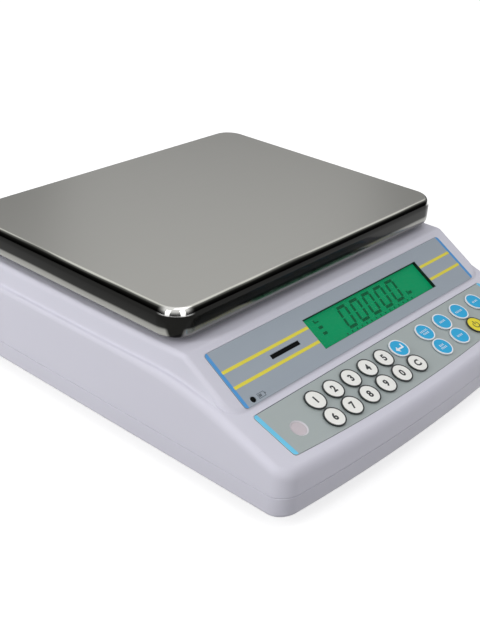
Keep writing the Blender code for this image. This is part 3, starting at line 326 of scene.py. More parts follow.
# Polished steel for the skirt, whose base colour carries painted reflections and painted highlights (see
# bands)
skirt_painted_finish = Finish("stainless_painted_reflections", (0.30, 0.30, 0.27), 0.10, 1.0)
skirt_painted_finish.satin(120.0, 0.02).bump(45.0, 0.00002).bump(900.0, 0.0000006)
skirt_painted_finish.bands()
pan_skirt_painted = skirt_painted_finish.mat
cast = Finish("cast_aluminium_skin", (0.42, 0.43, 0.44), 0.52, 1.0)
cast = cast.mottle(90.0, 0.12).satin(150.0, 0.08).bump(450.0, 0.00012, detail=4.0).mat
MILLED = (1.0, 0.05, 1.0)
aluminium_finish = Finish("aluminium_milled", (0.66, 0.67, 0.68), 0.32, 1.0)
aluminium_finish.mottle(300.0, 0.05, MILLED).satin(200.0, 0.05).bump(900.0, 0.00001, MILLED)
aluminium = aluminium_finish.mat
steel = Finish("steel_zinc", (0.48, 0.48, 0.49), 0.34, 1.0)
steel = steel.mottle(150.0, 0.1).satin(120.0, 0.06).bump(700.0, 0.00001).mat
gold = Finish("contact_gold", (0.75, 0.58, 0.26), 0.3, 1.0)
gold = gold.mottle(200.0, 0.05).satin(200.0, 0.04).bump(900.0, 0.000004).mat
board = plastic("board_green", srgb(30, 92, 52), 0.4, 260.0, 0.00003, 0.15).mat

FINISHES = {
    "display_label": label_display, "keypad_label": label_keypad, "display_window": clear,
    "lcd_module": lcd, "level_lens": milky, "level_vial": vial_back, "status_window": dark_lens,
    "load_cell": aluminium, "pan_spider": cast, "cell_mount": steel, "battery": dark_plastic,
    "battery_cover": case_plastic, "main_board": board, "display_board": board,
    "keypad_board": board, "power_inlet": dark_plastic, "serial_port": steel, "cell_cable": rubber,
    "overload_stop": steel,
}
FINISH_STARTS = (
    ("case_screw", steel), ("cover_screw", steel), ("cell_bolt", steel), ("spider_bolt", steel),
    ("pan_cushion", rubber), ("foot", rubber), ("key", white_key), ("charge", dark_lens),
    ("upper_case", case_plastic), ("lower_case", case_plastic), ("weighing_pan", pan_satin),
)
for name, obj in nodes.items():
    chosen = FINISHES.get(name)
    for start, finish in FINISH_STARTS:
        if chosen is None and name.startswith(start):
            chosen = finish
    for slot in obj.material_slots:
        slot.material = chosen


# --- making pieces ---


def settle(name, mesh, mats, body, place=None, replaces=(), angle=35.0, weighted=False):
    """A finished mesh becomes a piece that rides on a CAD body."""
    obj = bpy.data.objects.new(name, mesh)
    bpy.context.scene.collection.objects.link(obj)
    for mat in mats:
        mesh.materials.append(mat)
    mesh.shade_smooth()
    mesh.set_sharp_from_angle(angle=math.radians(angle))
    if weighted:
        modifier = obj.modifiers.new("weighted normals", "WEIGHTED_NORMAL")
        modifier.keep_sharp = True
        modifier.weight = 80
    if place is not None:
        obj.matrix_world = place
    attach(obj, body)
    if replaces:
        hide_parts(*replaces)


def to_mesh(name, bm):
    """Turns millimetres into metres."""
    bmesh.ops.scale(bm, vec=(MM, MM, MM), verts=bm.verts)
    mesh = bpy.data.meshes.new(name)
    bm.to_mesh(mesh)
    bm.free()
    return mesh


def box(bm, low, high):
    made = bmesh.ops.create_cube(bm, size=1.0)["verts"]
    bmesh.ops.scale(bm, vec=[b - a for a, b in zip(low, high)], verts=made)
    bmesh.ops.translate(bm, vec=[(a + b) / 2 for a, b in zip(low, high)], verts=made)


def cylinder(bm, radius, low, high, x, y, sides=48, along_y=False):
    """Closed, along Z at (x, y), or along Y with (x, y) standing for (x, z)."""
    place, turn = Matrix.Translation((x, y, (low + high) / 2)), Matrix.Identity(4)
    if along_y:
        turn = Matrix.Rotation(math.radians(90.0), 4, "X")
        place = Matrix.Translation((x, (low + high) / 2, y))
    bmesh.ops.create_cone(
        bm, cap_ends=True, segments=sides, radius1=radius, radius2=radius,
        depth=high - low, matrix=place @ turn,
    )


def prism(bm, points, low, high):
    """A closed flat plate whose outline runs anticlockwise seen from above."""
    bottom = [bm.verts.new((x, y, low)) for x, y in points]
    top = [bm.verts.new((x, y, high)) for x, y in points]
    bm.faces.new(list(reversed(bottom)))
    bm.faces.new(top)
    for i in range(len(points)):
        j = (i + 1) % len(points)
        bm.faces.new((bottom[i], bottom[j], top[j], top[i]))


def turned_mesh(bm, profile, sides, x=0.0, y=0.0):
    """A turned solid: the profile of (radius, height) runs from the top of the axis to its bottom."""
    rows = []
    for r, z in profile:
        if r == 0.0:
            rows.append([bm.verts.new((x, y, z))])
            continue
        turns = [2.0 * math.pi * i / sides for i in range(sides)]
        rows.append([bm.verts.new((x + r * math.cos(a), y + r * math.sin(a), z)) for a in turns])
    for up, down in zip(rows, rows[1:]):
        for i in range(sides):
            j = (i + 1) % sides
            face = [down[i % len(down)], down[j % len(down)], up[j % len(up)], up[i % len(up)]]
            bm.faces.new(list(dict.fromkeys(face)))


def revolved_ring(bm, section, sides):
    """A closed ring with this section of (radius, height) points."""
    loops = []
    for r, z in section:
        turns = [2.0 * math.pi * i / sides for i in range(sides)]
        loops.append([bm.verts.new((r * math.cos(a), r * math.sin(a), z)) for a in turns])
    for k, a in enumerate(loops):
        b = loops[(k + 1) % len(loops)]
        for i in range(sides):
            j = (i + 1) % sides
            bm.faces.new((a[i], a[j], b[j], b[i]))
    bmesh.ops.recalc_face_normals(bm, faces=bm.faces)


def cut(mesh, tools):
    """The mesh after each tool in turn: (bmesh, operation, place)."""
    obj = bpy.data.objects.new("being_cut", mesh)
    scene = bpy.context.scene.collection
    scene.objects.link(obj)
    made = []
    for bm, operation, place in tools:
        tool = bpy.data.objects.new("tool", to_mesh("tool", bm))
        scene.objects.link(tool)
        if place is not None:
            tool.matrix_world = place
        modifier = obj.modifiers.new("cut", "BOOLEAN")
        modifier.operation = operation
        modifier.solver = "EXACT"
        modifier.use_self = operation == "UNION"
        modifier.object = tool
        made.append(tool)
    bpy.context.view_layer.update()
    graph = bpy.context.evaluated_depsgraph_get()
    result = bpy.data.meshes.new_from_object(obj.evaluated_get(graph), depsgraph=graph)
    for extra in (obj, *made):
        bpy.data.objects.remove(extra, do_unlink=True)
    result.materials.clear()
    return result


# --- outlines and heights of the case, as in the CAD model but finer ---


def blend(low, high, t):
    """From low at t = 0 to high at t = 1, level at both ends."""
    t = min(max(t, 0.0), 1.0)
    t = t * t * (3.0 - 2.0 * t)
    return low + (high - low) * t


def forwardness(y):
    """0 at the back of the ledge, 1 from the display slope forward."""
    return blend(0.0, 1.0, -y / FRONT_REACH)


def ledge_height(y):
    """Level at the back, then an arc, then the keypad slope, which passes through the crease."""
    slope = math.tan(KEYPAD_SLOPE)
    corner_y = CREASE_Y + (LEDGE - CREASE_Z) / slope
    tangent = LEDGE_ARC * math.tan(KEYPAD_SLOPE / 2)
    start = corner_y + tangent
    end = corner_y - tangent * math.cos(KEYPAD_SLOPE)
    if y >= start:
        return LEDGE
    if y <= end:
        return CREASE_Z + (y - CREASE_Y) * slope
    return LEDGE - LEDGE_ARC + math.sqrt(LEDGE_ARC**2 - (start - y) ** 2)


def fold_place(drop=0.0):
    """Where the rounded fold between deck and display slope starts, at the back, and ends."""
    fold = CREASE_Y + (DECK - CREASE_Z) / math.tan(DISPLAY_SLOPE) + drop * math.tan(DISPLAY_SLOPE / 2)
    tangent = FOLD_ARC * math.tan(DISPLAY_SLOPE / 2)
    return fold, fold + tangent, fold - tangent * math.cos(DISPLAY_SLOPE)


def block_height(y, drop=0.0):
    """The display slope up to the deck, with a rounded fold between them."""
    deck = DECK - drop
    fold, start, end = fold_place(drop)
    if y >= start:
        return deck
    if y <= end:
        return deck + (y - fold) * math.tan(DISPLAY_SLOPE)
    return deck - FOLD_ARC + math.sqrt(FOLD_ARC**2 - (start - y) ** 2)


def side_stations():
    """Where the points along each side stand, from front to back."""
    _, start, end = fold_place()
    folds = [end + (start - end) * i / FOLD_STEPS for i in range(FOLD_STEPS + 1)]
    return [*AHEAD_OF_FOLD, *folds, *BEHIND_FOLD]


def front_bow(x, y, front, bow):
    """How far a point is pushed back from the foremost line; it fades out along the sides."""
    fade = min(max(1.0 - (y - front) / BOW_FADE, 0.0), 1.0)
    return bow * (x / CASE_HALF_WIDTH) ** 2 * fade


def outline(half_width, front, back, front_corner, back_corner, bow=0.0, stations=()):
    """Points (x, y, normal x, normal y) anticlockwise round a rounded rectangle whose front may bow."""
    half = []
    straight = half_width - front_corner
    for i in range(FRONT_STEPS):
        half.append((straight * i / FRONT_STEPS, front, 0.0, -1.0))
    for i in range(CORNER_STEPS + 1):
        a = math.radians(90.0 * i / CORNER_STEPS)
        x = straight + front_corner * math.sin(a)
        half.append((x, front + front_corner * (1.0 - math.cos(a)), math.sin(a), -math.cos(a)))
    for y in stations:
        half.append((half_width, y, 1.0, 0.0))
    for i in range(CORNER_STEPS + 1):
        a = math.radians(90.0 * i / CORNER_STEPS)
        x = half_width - back_corner * (1.0 - math.cos(a))
        half.append((x, back - back_corner * (1.0 - math.sin(a)), math.cos(a), math.sin(a)))
    half.append((0.0, back, 0.0, 1.0))
    half = [(x, y + front_bow(x, y, front, bow), nx, ny) for x, y, nx, ny in half]
    return half + [(-x, y, -nx, ny) for x, y, nx, ny in reversed(half[1:-1])]


def ring(points, inset, height):
    """Each outline point moved in by inset(y) and given the height that belongs to its place."""
    placed = []
    for x, y, nx, ny in points:
        d = inset(y)
        px, py = x - nx * d, y - ny * d
        placed.append((px, py, height(px, py)))
    return placed


def skin(bm, rings, inward=False):
    """Quads between each ring and the next; returns the rings' vertices."""
    rows = [[bm.verts.new(p) for p in r] for r in rings]
    for low, high in zip(rows, rows[1:]):
        for i in range(len(low)):
            j = (i + 1) % len(low)
            face = (low[i], low[j], high[j], high[i])
            bm.faces.new(tuple(reversed(face)) if inward else face)
    return rows


def close(bm, row, inward=False):
    bm.faces.new(list(reversed(row)) if inward else row)


def close_roof(bm, row, inward=False):
    """One face for the display slope, strips over the fold, one face for the deck."""
    count = len(row)
    first = FRONT_STEPS + CORNER_STEPS + 1 + len(AHEAD_OF_FOLD)
    edges = [(c, count - c) for c in range(first, first + FOLD_STEPS + 1)]
    right, left = edges[0]
    faces = [row[left:] + row[: right + 1]]
    for (r0, l0), (r1, l1) in zip(edges, edges[1:]):
        faces.append([row[l0], row[r0], row[r1], row[l1]])
    right, left = edges[-1]
    faces.append(row[right : left + 1])
    for face in faces:
        bm.faces.new(list(reversed(face)) if inward else face)


def bridge(bm, outer, inner, facing_down):
    """The flat rim between an outer and an inner ring."""
    for i in range(len(outer)):
        j = (i + 1) % len(outer)
        face = (outer[i], inner[i], inner[j], outer[j])
        bm.faces.new(face if facing_down else tuple(reversed(face)))


def case_outline():
    size = (CASE_HALF_WIDTH, -CASE_HALF_DEPTH, CASE_HALF_DEPTH)
    return outline(*size, FRONT_CORNER, BACK_CORNER, FRONT_BOW, side_stations())


def block_outline():
    size = (BLOCK_HALF_WIDTH, CREASE_Y, BLOCK_BACK)
    return outline(*size, BLOCK_FRONT_CORNER, BLOCK_BACK_CORNER, stations=side_stations())


def quarter(steps):
    """Angles from 0 to 90 degrees."""
    return [math.radians(90.0 * i / steps) for i in range(steps + 1)]


def upper_case_mesh():
    base, block = case_outline(), block_outline()
    low = SEAM + GAP

    def width(y):
        return blend(*SHOULDER_WIDTH, forwardness(y))

    def drop(y):
        return blend(*SHOULDER_DROP, forwardness(y))

    def taper(y):
        return BLOCK_TAPER * forwardness(y)

    def fillet(y):
        """Radius of the hollow where the block stands on the ledge; it dies out at the crease."""
        return max(0.0, min(FILLET, 0.6 * (block_height(y) - BLOCK_EDGE - ledge_height(y))))

    def shoulder(a):
        return ring(
            base,
            lambda y: WALL_LEAN + width(y) * (1.0 - math.cos(a)),
            lambda x, y: ledge_height(y) - drop(y) * (1.0 - math.sin(a)),
        )

    def hollow(a):
        return ring(
            block,
            lambda y: taper(y) - fillet(y) * (1.0 - math.sin(a)) * 0.9,
            lambda x, y: ledge_height(y) + fillet(y) * (1.0 - math.cos(a)),
        )

    def block_edge(a):
        return ring(
            block,
            lambda y: taper(y) + 1.0 + BLOCK_EDGE * (1.0 - math.cos(a)),
            lambda x, y: max(
                ledge_height(y) + fillet(y), block_height(y) - BLOCK_EDGE * (1.0 - math.sin(a))
            ),
        )

    outside = [ring(base, lambda y: 0.35, lambda x, y: low)]
    outside.append(ring(base, lambda y: 0.0, lambda x, y: low + 0.4))
    outside += [shoulder(a) for a in quarter(EDGE_STEPS)]
    outside += [hollow(a) for a in quarter(4)]
    outside += [block_edge(a) for a in quarter(EDGE_STEPS)]

    under = WALL / math.cos(KEYPAD_SLOPE)
    inside = [ring(base, lambda y: WALL, lambda x, y: low)]
    inside.append(ring(base, lambda y: WALL_LEAN + WALL, lambda x, y: ledge_height(y) - drop(y)))
    inset = lambda y: WALL_LEAN + WALL + width(y) * 0.6
    inside.append(ring(base, inset, lambda x, y: ledge_height(y) - under))
    inside.append(ring(block, lambda y: taper(y) + WALL, lambda x, y: ledge_height(y) - under))
    for extra, down in ((1.0, 3.0), (4.0, 0.0)):
        top = lambda x, y, d=down: max(ledge_height(y) - under, block_height(y, WALL) - d)
        inside.append(ring(block, lambda y, e=extra: taper(y) + WALL + e, top))
    bm = bmesh.new()
    outer, inner = skin(bm, outside), skin(bm, inside, inward=True)
    close_roof(bm, outer[-1])
    close_roof(bm, inner[-1], inward=True)
    bridge(bm, outer[0], inner[0], facing_down=True)
    return to_mesh("upper_case_skin", bm)


def lower_case_mesh():
    base = case_outline()
    profile = []
    for a in quarter(6):
        inset = SOLE_LEAN + SOLE_IN * (1.0 - math.sin(a))
        profile.append((inset, CASE_BOTTOM + SOLE_UP * (1.0 - math.cos(a))))
    profile += [(0.05, SEAM - 0.4), (0.4, SEAM)]
    outside = [ring(base, lambda y, d=d: d, lambda x, y, z=z: z) for d, z in profile]
    hollow = ((3.4 + WALL, CASE_BOTTOM + WALL), (0.4 + WALL, 15.4), (WALL, SEAM))
    inside = [ring(base, lambda y, d=d: d, lambda x, y, z=z: z) for d, z in hollow]
    bm = bmesh.new()
    outer, inner = skin(bm, outside), skin(bm, inside, inward=True)
    close(bm, outer[0], inward=True)
    close(bm, inner[0])
    bridge(bm, outer[-1], inner[-1], facing_down=False)
    return to_mesh("lower_case_skin", bm)


def label_outline(half_width, top, bottom, bow, grow):
    """A label's outline in its slope's frame; its bottom edge may bow."""
    half_width += grow
    radius = LABEL_CORNER + grow
    run = half_width - radius

    def bottom_at(x):
        return -(bottom + grow) + bow * (x / half_width) ** 2

    xs = [-run + 2.0 * run * i / LABEL_STEPS for i in range(LABEL_STEPS + 1)]
    points = [(x, bottom_at(x)) for x in xs]
    corners = ((run, bottom_at(run) + radius, -90.0), (run, -(top - grow) - radius, 0.0))
    corners += ((-run, -(top - grow) - radius, 90.0), (-run, bottom_at(run) + radius, 180.0))
    for cx, cy, start in corners:
        for i in range(LABEL_CORNER_STEPS + 1):
            if (start, i) not in ((-90.0, 0), (180.0, LABEL_CORNER_STEPS)):
                a = math.radians(start + 90.0 * i / LABEL_CORNER_STEPS)
                points.append((cx + radius * math.cos(a), cy + radius * math.sin(a)))
    return points


def key_places():
    for names, x0, pitch in (
        (NUMBER_KEYS, NUMBER_KEY_X, NUMBER_KEY_PITCH),
        (FUNCTION_KEYS, FUNCTION_KEY_X, FUNCTION_KEY_PITCH),
    ):
        for row, depth in zip(names, KEY_ROWS):
            for i, name in enumerate(row):
                yield name, x0 + i * pitch, depth


def screw_places():
    return [(x, y) for x in (-SCREW_X, SCREW_X) for y in (SCREW_FRONT_Y, SCREW_BACK_Y)]


def foot_places():
    return [(x, y) for x in (-FOOT_X, FOOT_X) for y in (FOOT_FRONT_Y, FOOT_BACK_Y)]


# --- the case ---


def make_upper_case():
    added = bmesh.new()  # the walls of the connector bay, and the screw posts
    wall = 2.5
    low = (BAY_LEFT - wall, BAY_FLOOR - wall, SEAM + 0.8)
    box(added, low, (BAY_RIGHT + wall, CASE_HALF_DEPTH - 1.8, BAY_HIGH + wall))
    for x, y in screw_places():
        cylinder(added, POST_RADIUS, SEAM + 0.4, block_height(y - POST_RADIUS) - 1.2, x, y)
    holes = bmesh.new()
    box(holes, (BAY_LEFT, BAY_FLOOR, BAY_LOW), (BAY_RIGHT, CASE_HALF_DEPTH + 5.0, BAY_HIGH))
    cylinder(holes, DECK_HOLE, DECK - 6.0, DECK + 4.0, POST_X, PAN_Y, 64)
    ports = bmesh.new()
    ahead, behind = BAY_FLOOR - 6.0, BAY_FLOOR + 2.0
    cylinder(ports, 5.8, ahead, behind, INLET_X, PORT_Z, 48, along_y=True)
    box(ports, (PORT_X - 9.0, ahead, PORT_Z - 5.0), (PORT_X + 9.0, behind, PORT_Z + 5.0))

    label_bed, above_label = -0.6, 4.0
    under_slope, above_slope = -5.0, 3.0
    display = bmesh.new()
    points = label_outline(LABEL_HALF_WIDTH, 0.0, DISPLAY_LABEL_DEPTH, 0.0, GAP)
    prism(display, points, label_bed, above_label)
    openings = bmesh.new()
    box(openings, (LCD_LEFT, -LCD_BOTTOM, under_slope - 1.0), (LCD_RIGHT, -LCD_TOP, above_slope))
    cylinder(openings, LAMP_RADIUS + GAP, under_slope, above_slope, LAMP_X, -LAMP_DEPTH, 24)
    half = (STATUS_LENGTH / 2 + GAP, STATUS_WIDTH / 2 + GAP)
    low = (STATUS_X - half[0], -STATUS_DEPTH - half[1], under_slope)
    box(openings, low, (STATUS_X + half[0], -STATUS_DEPTH + half[1], above_slope))
    keypad = bmesh.new()
    points = label_outline(LABEL_HALF_WIDTH, KEYPAD_LABEL_TOP, KEYPAD_LABEL_BOTTOM, KEYPAD_BOW, GAP)
    prism(keypad, points, label_bed, above_label)
    wells = bmesh.new()
    for _, x, depth in key_places():
        cylinder(wells, KEY_STEM + 0.35, under_slope, above_slope, x, -depth, 24)
    cylinder(wells, LEVEL_RADIUS + GAP, under_slope, above_slope, LEVEL_X, -LEVEL_DEPTH, 48)

    tools = [(added, "UNION", None), (holes, "DIFFERENCE", None), (ports, "DIFFERENCE", None)]
    tools += [(display, "DIFFERENCE", DISPLAY_FRAME), (openings, "DIFFERENCE", DISPLAY_FRAME)]
    tools += [(keypad, "DIFFERENCE", KEYPAD_FRAME), (wells, "DIFFERENCE", KEYPAD_FRAME)]
    mesh = cut(upper_case_mesh(), tools)
    settle(
        "upper_case_skin", mesh, [case_plastic], "case",
        replaces=("upper_case",), weighted=True,
    )


def make_lower_case():
    holes = bmesh.new()
    for x, y in foot_places():
        cylinder(holes, STUD_RADIUS + GAP, CASE_BOTTOM - 1.0, 25.0, x, y)
    low = (BATTERY_X - COVER_HALF_X, BATTERY_Y - COVER_HALF_Y, CASE_BOTTOM - 1.0)
    box(holes, low, (BATTERY_X + COVER_HALF_X, BATTERY_Y + COVER_HALF_Y, CASE_BOTTOM + 2.1))
    for x, y in screw_places():
        cylinder(holes, 4.2, CASE_BOTTOM - 1.0, SCREW_HEAD_SEAT, x, y)
    mesh = cut(lower_case_mesh(), [(holes, "DIFFERENCE", None)])
    settle(
        "lower_case_skin", mesh, [case_plastic], "case",
        replaces=("lower_case",), weighted=True,
    )


def make_feet():
    top = CASE_BOTTOM - GAP
    profile = [(0.0, STUD_TOP), (STUD_RADIUS - 0.5, STUD_TOP)]
    pitch, groove = 1.0, 0.35
    z = STUD_TOP - pitch / 2
    while z > top + pitch:  # rounds of thread
        profile += [(STUD_RADIUS, z), (STUD_RADIUS - groove, z - pitch / 2)]
        z -= pitch
    stud = profile + [(STUD_RADIUS, top), (0.0, top)]
    pad = [(0.0, top), (7.4, top), (8.0, top - 0.5), (8.2, 7.8), (9.6, 7.1), (FOOT_RADIUS - 0.3, 6.4)]
    pad += [(FOOT_RADIUS, 5.6), (FOOT_RADIUS, 1.2), (FOOT_RADIUS - 0.3, 0.4), (FOOT_RADIUS - 1.0, 0.0)]
    pad += [(8.0, 0.0), (7.6, 0.5), (6.4, 0.5), (6.0, 0.0), (0.0, 0.0)]
    for i, (x, y) in enumerate(foot_places()):
        body = f"foot_{i + 1}_body"
        place = Matrix.Translation((x * MM, y * MM, 0.0))
        bm = bmesh.new()
        turned_mesh(bm, stud, 32)
        settle(f"foot_stud_{i + 1}", to_mesh("stud", bm), [steel], body, place)
        bm = bmesh.new()
        turned_mesh(bm, pad, 48)
        mesh = to_mesh("pad", bm)
        settle(f"foot_pad_{i + 1}", mesh, [rubber], body, place, (f"foot_{i + 1}",))


# --- prints, display and keypad ---


def flat(name, shapes, low, high, mat, place, body="case"):
    """Flat prints: each shape is an anticlockwise outline."""
    bm = bmesh.new()
    for points in shapes:
        prism(bm, points, low, high)
    settle(name, to_mesh(name, bm), [mat], body, place)


def rectangle(left, right, top, bottom):
    """An outline from places across and down the slope."""
    return [(left, -bottom), (right, -bottom), (right, -top), (left, -top)]


def edge_bar(side, top, bottom, width):
    """A bar along a label's end, rounded like the label's corners."""
    radius, outer = LABEL_CORNER - PRINT_EDGE, LABEL_HALF_WIDTH - PRINT_EDGE
    top, bottom = top + PRINT_EDGE, bottom - PRINT_EDGE
    points = [(outer - width, -bottom)]
    for cy, start in ((-bottom + radius, -90.0), (-top - radius, 0.0)):
        for i in range(LABEL_CORNER_STEPS + 1):
            a = math.radians(start + 90.0 * i / LABEL_CORNER_STEPS)
            points.append((outer - radius + radius * math.cos(a), cy + radius * math.sin(a)))
    points.append((outer - width, -top))
    if side < 0.0:
        points = [(-x, y) for x, y in reversed(points)]
    return points


def make_display_prints():
    ends = ((-LABEL_HALF_WIDTH + 2.6, LCD_LEFT - 0.2), (LCD_RIGHT + 0.2, LABEL_HALF_WIDTH - 2.6))
    stripes = [rectangle(*end, *depths) for end in ends for depths in STRIPE_DEPTHS]
    bars = [edge_bar(side, 0.0, DISPLAY_LABEL_DEPTH, 2.7) for side in (-1.0, 1.0)]
    icon = [rectangle(*part) for part in CHARGE_ICON]
    for name, shapes, mat in (
        ("display_stripes", stripes, stripe_yellow),
        ("display_bars", bars, bar_blue),
        ("charge_icon", icon, ink_grey),
    ):
        flat(name, shapes, PRINT_LOW, PRINT_HIGH, mat, DISPLAY_FRAME)


def digit_segments(x):
    """The six lit segments of a zero that leans to the right."""

    def sheared(left, right, up, down):
        corners = ((left, down), (right, down), (right, up), (left, up))
        return [(x + px + DIGIT_LEAN * (DIGIT_BASE - t), -t) for px, t in corners]

    middle = (DIGIT_BASE + DIGIT_TOP) / 2
    segments = [sheared(1.0, DIGIT_WIDTH - 1.0, DIGIT_TOP, DIGIT_TOP + DIGIT_STROKE)]
    segments.append(sheared(1.0, DIGIT_WIDTH - 1.0, DIGIT_BASE - DIGIT_STROKE, DIGIT_BASE))
    for left in (0.0, DIGIT_WIDTH - DIGIT_STROKE):
        right = left + DIGIT_STROKE
        segments.append(sheared(left, right, DIGIT_TOP + DIGIT_STROKE + DIGIT_GAP, middle - 0.5))
        segments.append(sheared(left, right, middle + 0.5, DIGIT_BASE - DIGIT_STROKE - DIGIT_GAP))
    return segments


def make_display():
    make_display_prints()
    bm = bmesh.new()
    thick, floor, rim, gap = 0.26, -2.55, -0.02, 0.005
    inner_left, inner_right = LCD_LEFT + thick, LCD_RIGHT - thick
    for left, right, top, bottom in (
        (LCD_LEFT, inner_left, LCD_TOP, LCD_BOTTOM),
        (inner_right, LCD_RIGHT, LCD_TOP, LCD_BOTTOM),
        (inner_left, inner_right, LCD_TOP, LCD_TOP + thick),
        (inner_left, inner_right, LCD_BOTTOM - thick, LCD_BOTTOM),
    ):
        box(bm, (left + gap, -bottom + gap, floor), (right - gap, -top - gap, rim))
    settle("lcd_bezel", to_mesh("bezel", bm), [bezel_dark], "case", DISPLAY_FRAME)

    segments = [part for k in range(5) for part in digit_segments(DIGIT_LEFT + DIGIT_PITCH * k)]
    ticks = [rectangle(-18.0 + 5.8 * k, -16.9 + 5.8 * k, 32.0, 33.4) for k in range(15)]
    marks = [rectangle(*mark) for mark in LCD_MARKS]
    shapes = segments + ticks + marks
    flat("lcd_segments", shapes, LCD_FACE, LCD_INK, lcd_ink, DISPLAY_FRAME)

    bm = bmesh.new()
    r = LAMP_RADIUS
    dome = [(0.0, 0.7), (r * 0.35, 0.67), (r * 0.7, 0.55), (r * 0.92, 0.38), (r, 0.15)]
    turned_mesh(bm, dome + [(r, -3.0), (0.0, -3.0)], 32)
    place = DISPLAY_FRAME @ Matrix.Translation((LAMP_X * MM, -LAMP_DEPTH * MM, 0.0))
    lens = to_mesh("lamp", bm)
    settle("charge_lamp_lens", lens, [dark_lens], "case", place, ("charge_lamp",))


def make_keypad_prints():
    bottom = KEYPAD_LABEL_BOTTOM - KEYPAD_BOW
    bars = [edge_bar(side, KEYPAD_LABEL_TOP, bottom, 3.4) for side in (-1.0, 1.0)]
    flat("keypad_bars", bars, PRINT_LOW, PRINT_HIGH, bar_sky, KEYPAD_FRAME)
    end = LABEL_HALF_WIDTH - 2.6
    line = [rectangle(-end, end, KEYPAD_LABEL_TOP, KEYPAD_LABEL_TOP + 0.35)]
    flat("keypad_edge_line", line, PRINT_LOW, PRINT_HIGH, ink_grey, KEYPAD_FRAME)


def make_level():
    """The rim and the seat round the spirit level, and its bubble."""
    place = KEYPAD_FRAME @ Matrix.Translation((LEVEL_X * MM, -LEVEL_DEPTH * MM, 0.0))
    r = LEVEL_RADIUS
    rim = [(r + 0.25, 0.18), (r - 0.1, 0.02), (r - 0.7, -0.2)]
    rim += [(r - 0.8, -0.37), (r - 0.02, -0.38), (r + 0.25, -0.3)]
    seat = [(r + 0.2, -1.45), (r - 0.4, -1.5), (r - 1.4, -1.75)]
    seat += [(r - 2.4, -1.95), (r - 2.4, -2.25), (r, -2.9)]
    for name, section in (("level_rim", rim), ("level_seat", seat)):
        bm = bmesh.new()
        revolved_ring(bm, section, 64)
        settle(name, to_mesh(name, bm), [vial_back], "case", place)
    bm = bmesh.new()
    profile = [(0.0, -1.5), (1.4, -1.55), (2.1, -1.75), (2.3, -1.95), (2.1, -2.1), (0.0, -2.15)]
    turned_mesh(bm, profile, 32, 0.6, 1.4)
    settle("level_bubble", to_mesh("bubble", bm), [bubble], "case", place)


def glyph_mesh(text, size, low, high):
    """A character as a flat plate centred on the origin."""
    curve = bpy.data.curves.new("glyph", "FONT")
    curve.body = text
    curve.size = size * MM
    curve.extrude = (high - low) / 2 * MM
    curve.resolution_u = 6
    curve.offset = 0.0000375 * size  # bolder strokes
    obj = bpy.data.objects.new("glyph", curve)
    bpy.context.scene.collection.objects.link(obj)
    bpy.context.view_layer.update()
    graph = bpy.context.evaluated_depsgraph_get()
    mesh = bpy.data.meshes.new_from_object(obj.evaluated_get(graph), depsgraph=graph)
    bpy.data.objects.remove(obj, do_unlink=True)
    xs, ys = [v.co.x for v in mesh.vertices], [v.co.y for v in mesh.vertices]
    middle = Vector(((min(xs) + max(xs)) / 2, (min(ys) + max(ys)) / 2, -(high + low) / 2 * MM))
    mesh.transform(Matrix.Translation(-middle))
    bm = bmesh.new()
    bm.from_mesh(mesh)
    bmesh.ops.remove_doubles(bm, verts=bm.verts, dist=0.000002)
    bm.to_mesh(mesh)
    bm.free()
    mesh.materials.clear()
    return mesh


def arc_points(radius, width, start, end, steps):
    """Outline of a flat arc; its angles are degrees."""
    outer, inner = [], []
    for i in range(steps + 1):
        a = math.radians(start + (end - start) * i / steps)
        outer.append(((radius + width / 2) * math.cos(a), (radius + width / 2) * math.sin(a)))
        inner.append(((radius - width / 2) * math.cos(a), (radius - width / 2) * math.sin(a)))
    return outer + list(reversed(inner))


def legend_shapes(name):
    """Plain marks that stand in for printed words: short strokes, a return arrow, a power sign."""
    if name == "key_power":
        ring_part = arc_points(2.7, 0.75, -235.0, 55.0, 28)
        return [ring_part, [(-0.4, 0.4), (0.4, 0.4), (0.4, 3.9), (-0.4, 3.9)]]
    if name == "key_print":
        arrow = [(-4.6, -0.6), (-1.6, -3.2), (-1.6, -1.3), (4.2, -1.3), (4.2, 2.6), (3.0, 2.6)]
        return [arrow + [(3.0, 0.1), (-1.6, 0.1), (-1.6, 2.0)]]
    rows = {"key_f1": (5, 4), "key_f3": (5,), "key_f5": (3, 4), "key_f7": (4, 3)}.get(name, (4,))
    shapes = []
    for k, count in enumerate(rows):
        y = (len(rows) - 1) * 1.25 - 2.5 * k
        for i in range(count):
            x = (i - (count - 1) / 2) * 1.75
            tall = 0.95 if i == 0 else 0.7
            strokes = ((-0.6, 0.6, -0.35, -0.7), (-0.6, -0.2, tall, -0.3), (-0.15, 0.6, 0.7, 0.35))
            for left, right, up, down in strokes:
                shapes.append(rectangle(x + left, x + right, -(y + up), -(y + down)))
    return shapes


def key_look(name):
    """Face, slot name, rim and legend."""
    if name in BLUE_KEYS:
        return blue_key, "key_blue", ink_white, ink_white
    if name == "key_power":
        return yellow_key, "key_yellow", ink_black, ink_black
    return white_key, "key_white", ink_black, ink_black


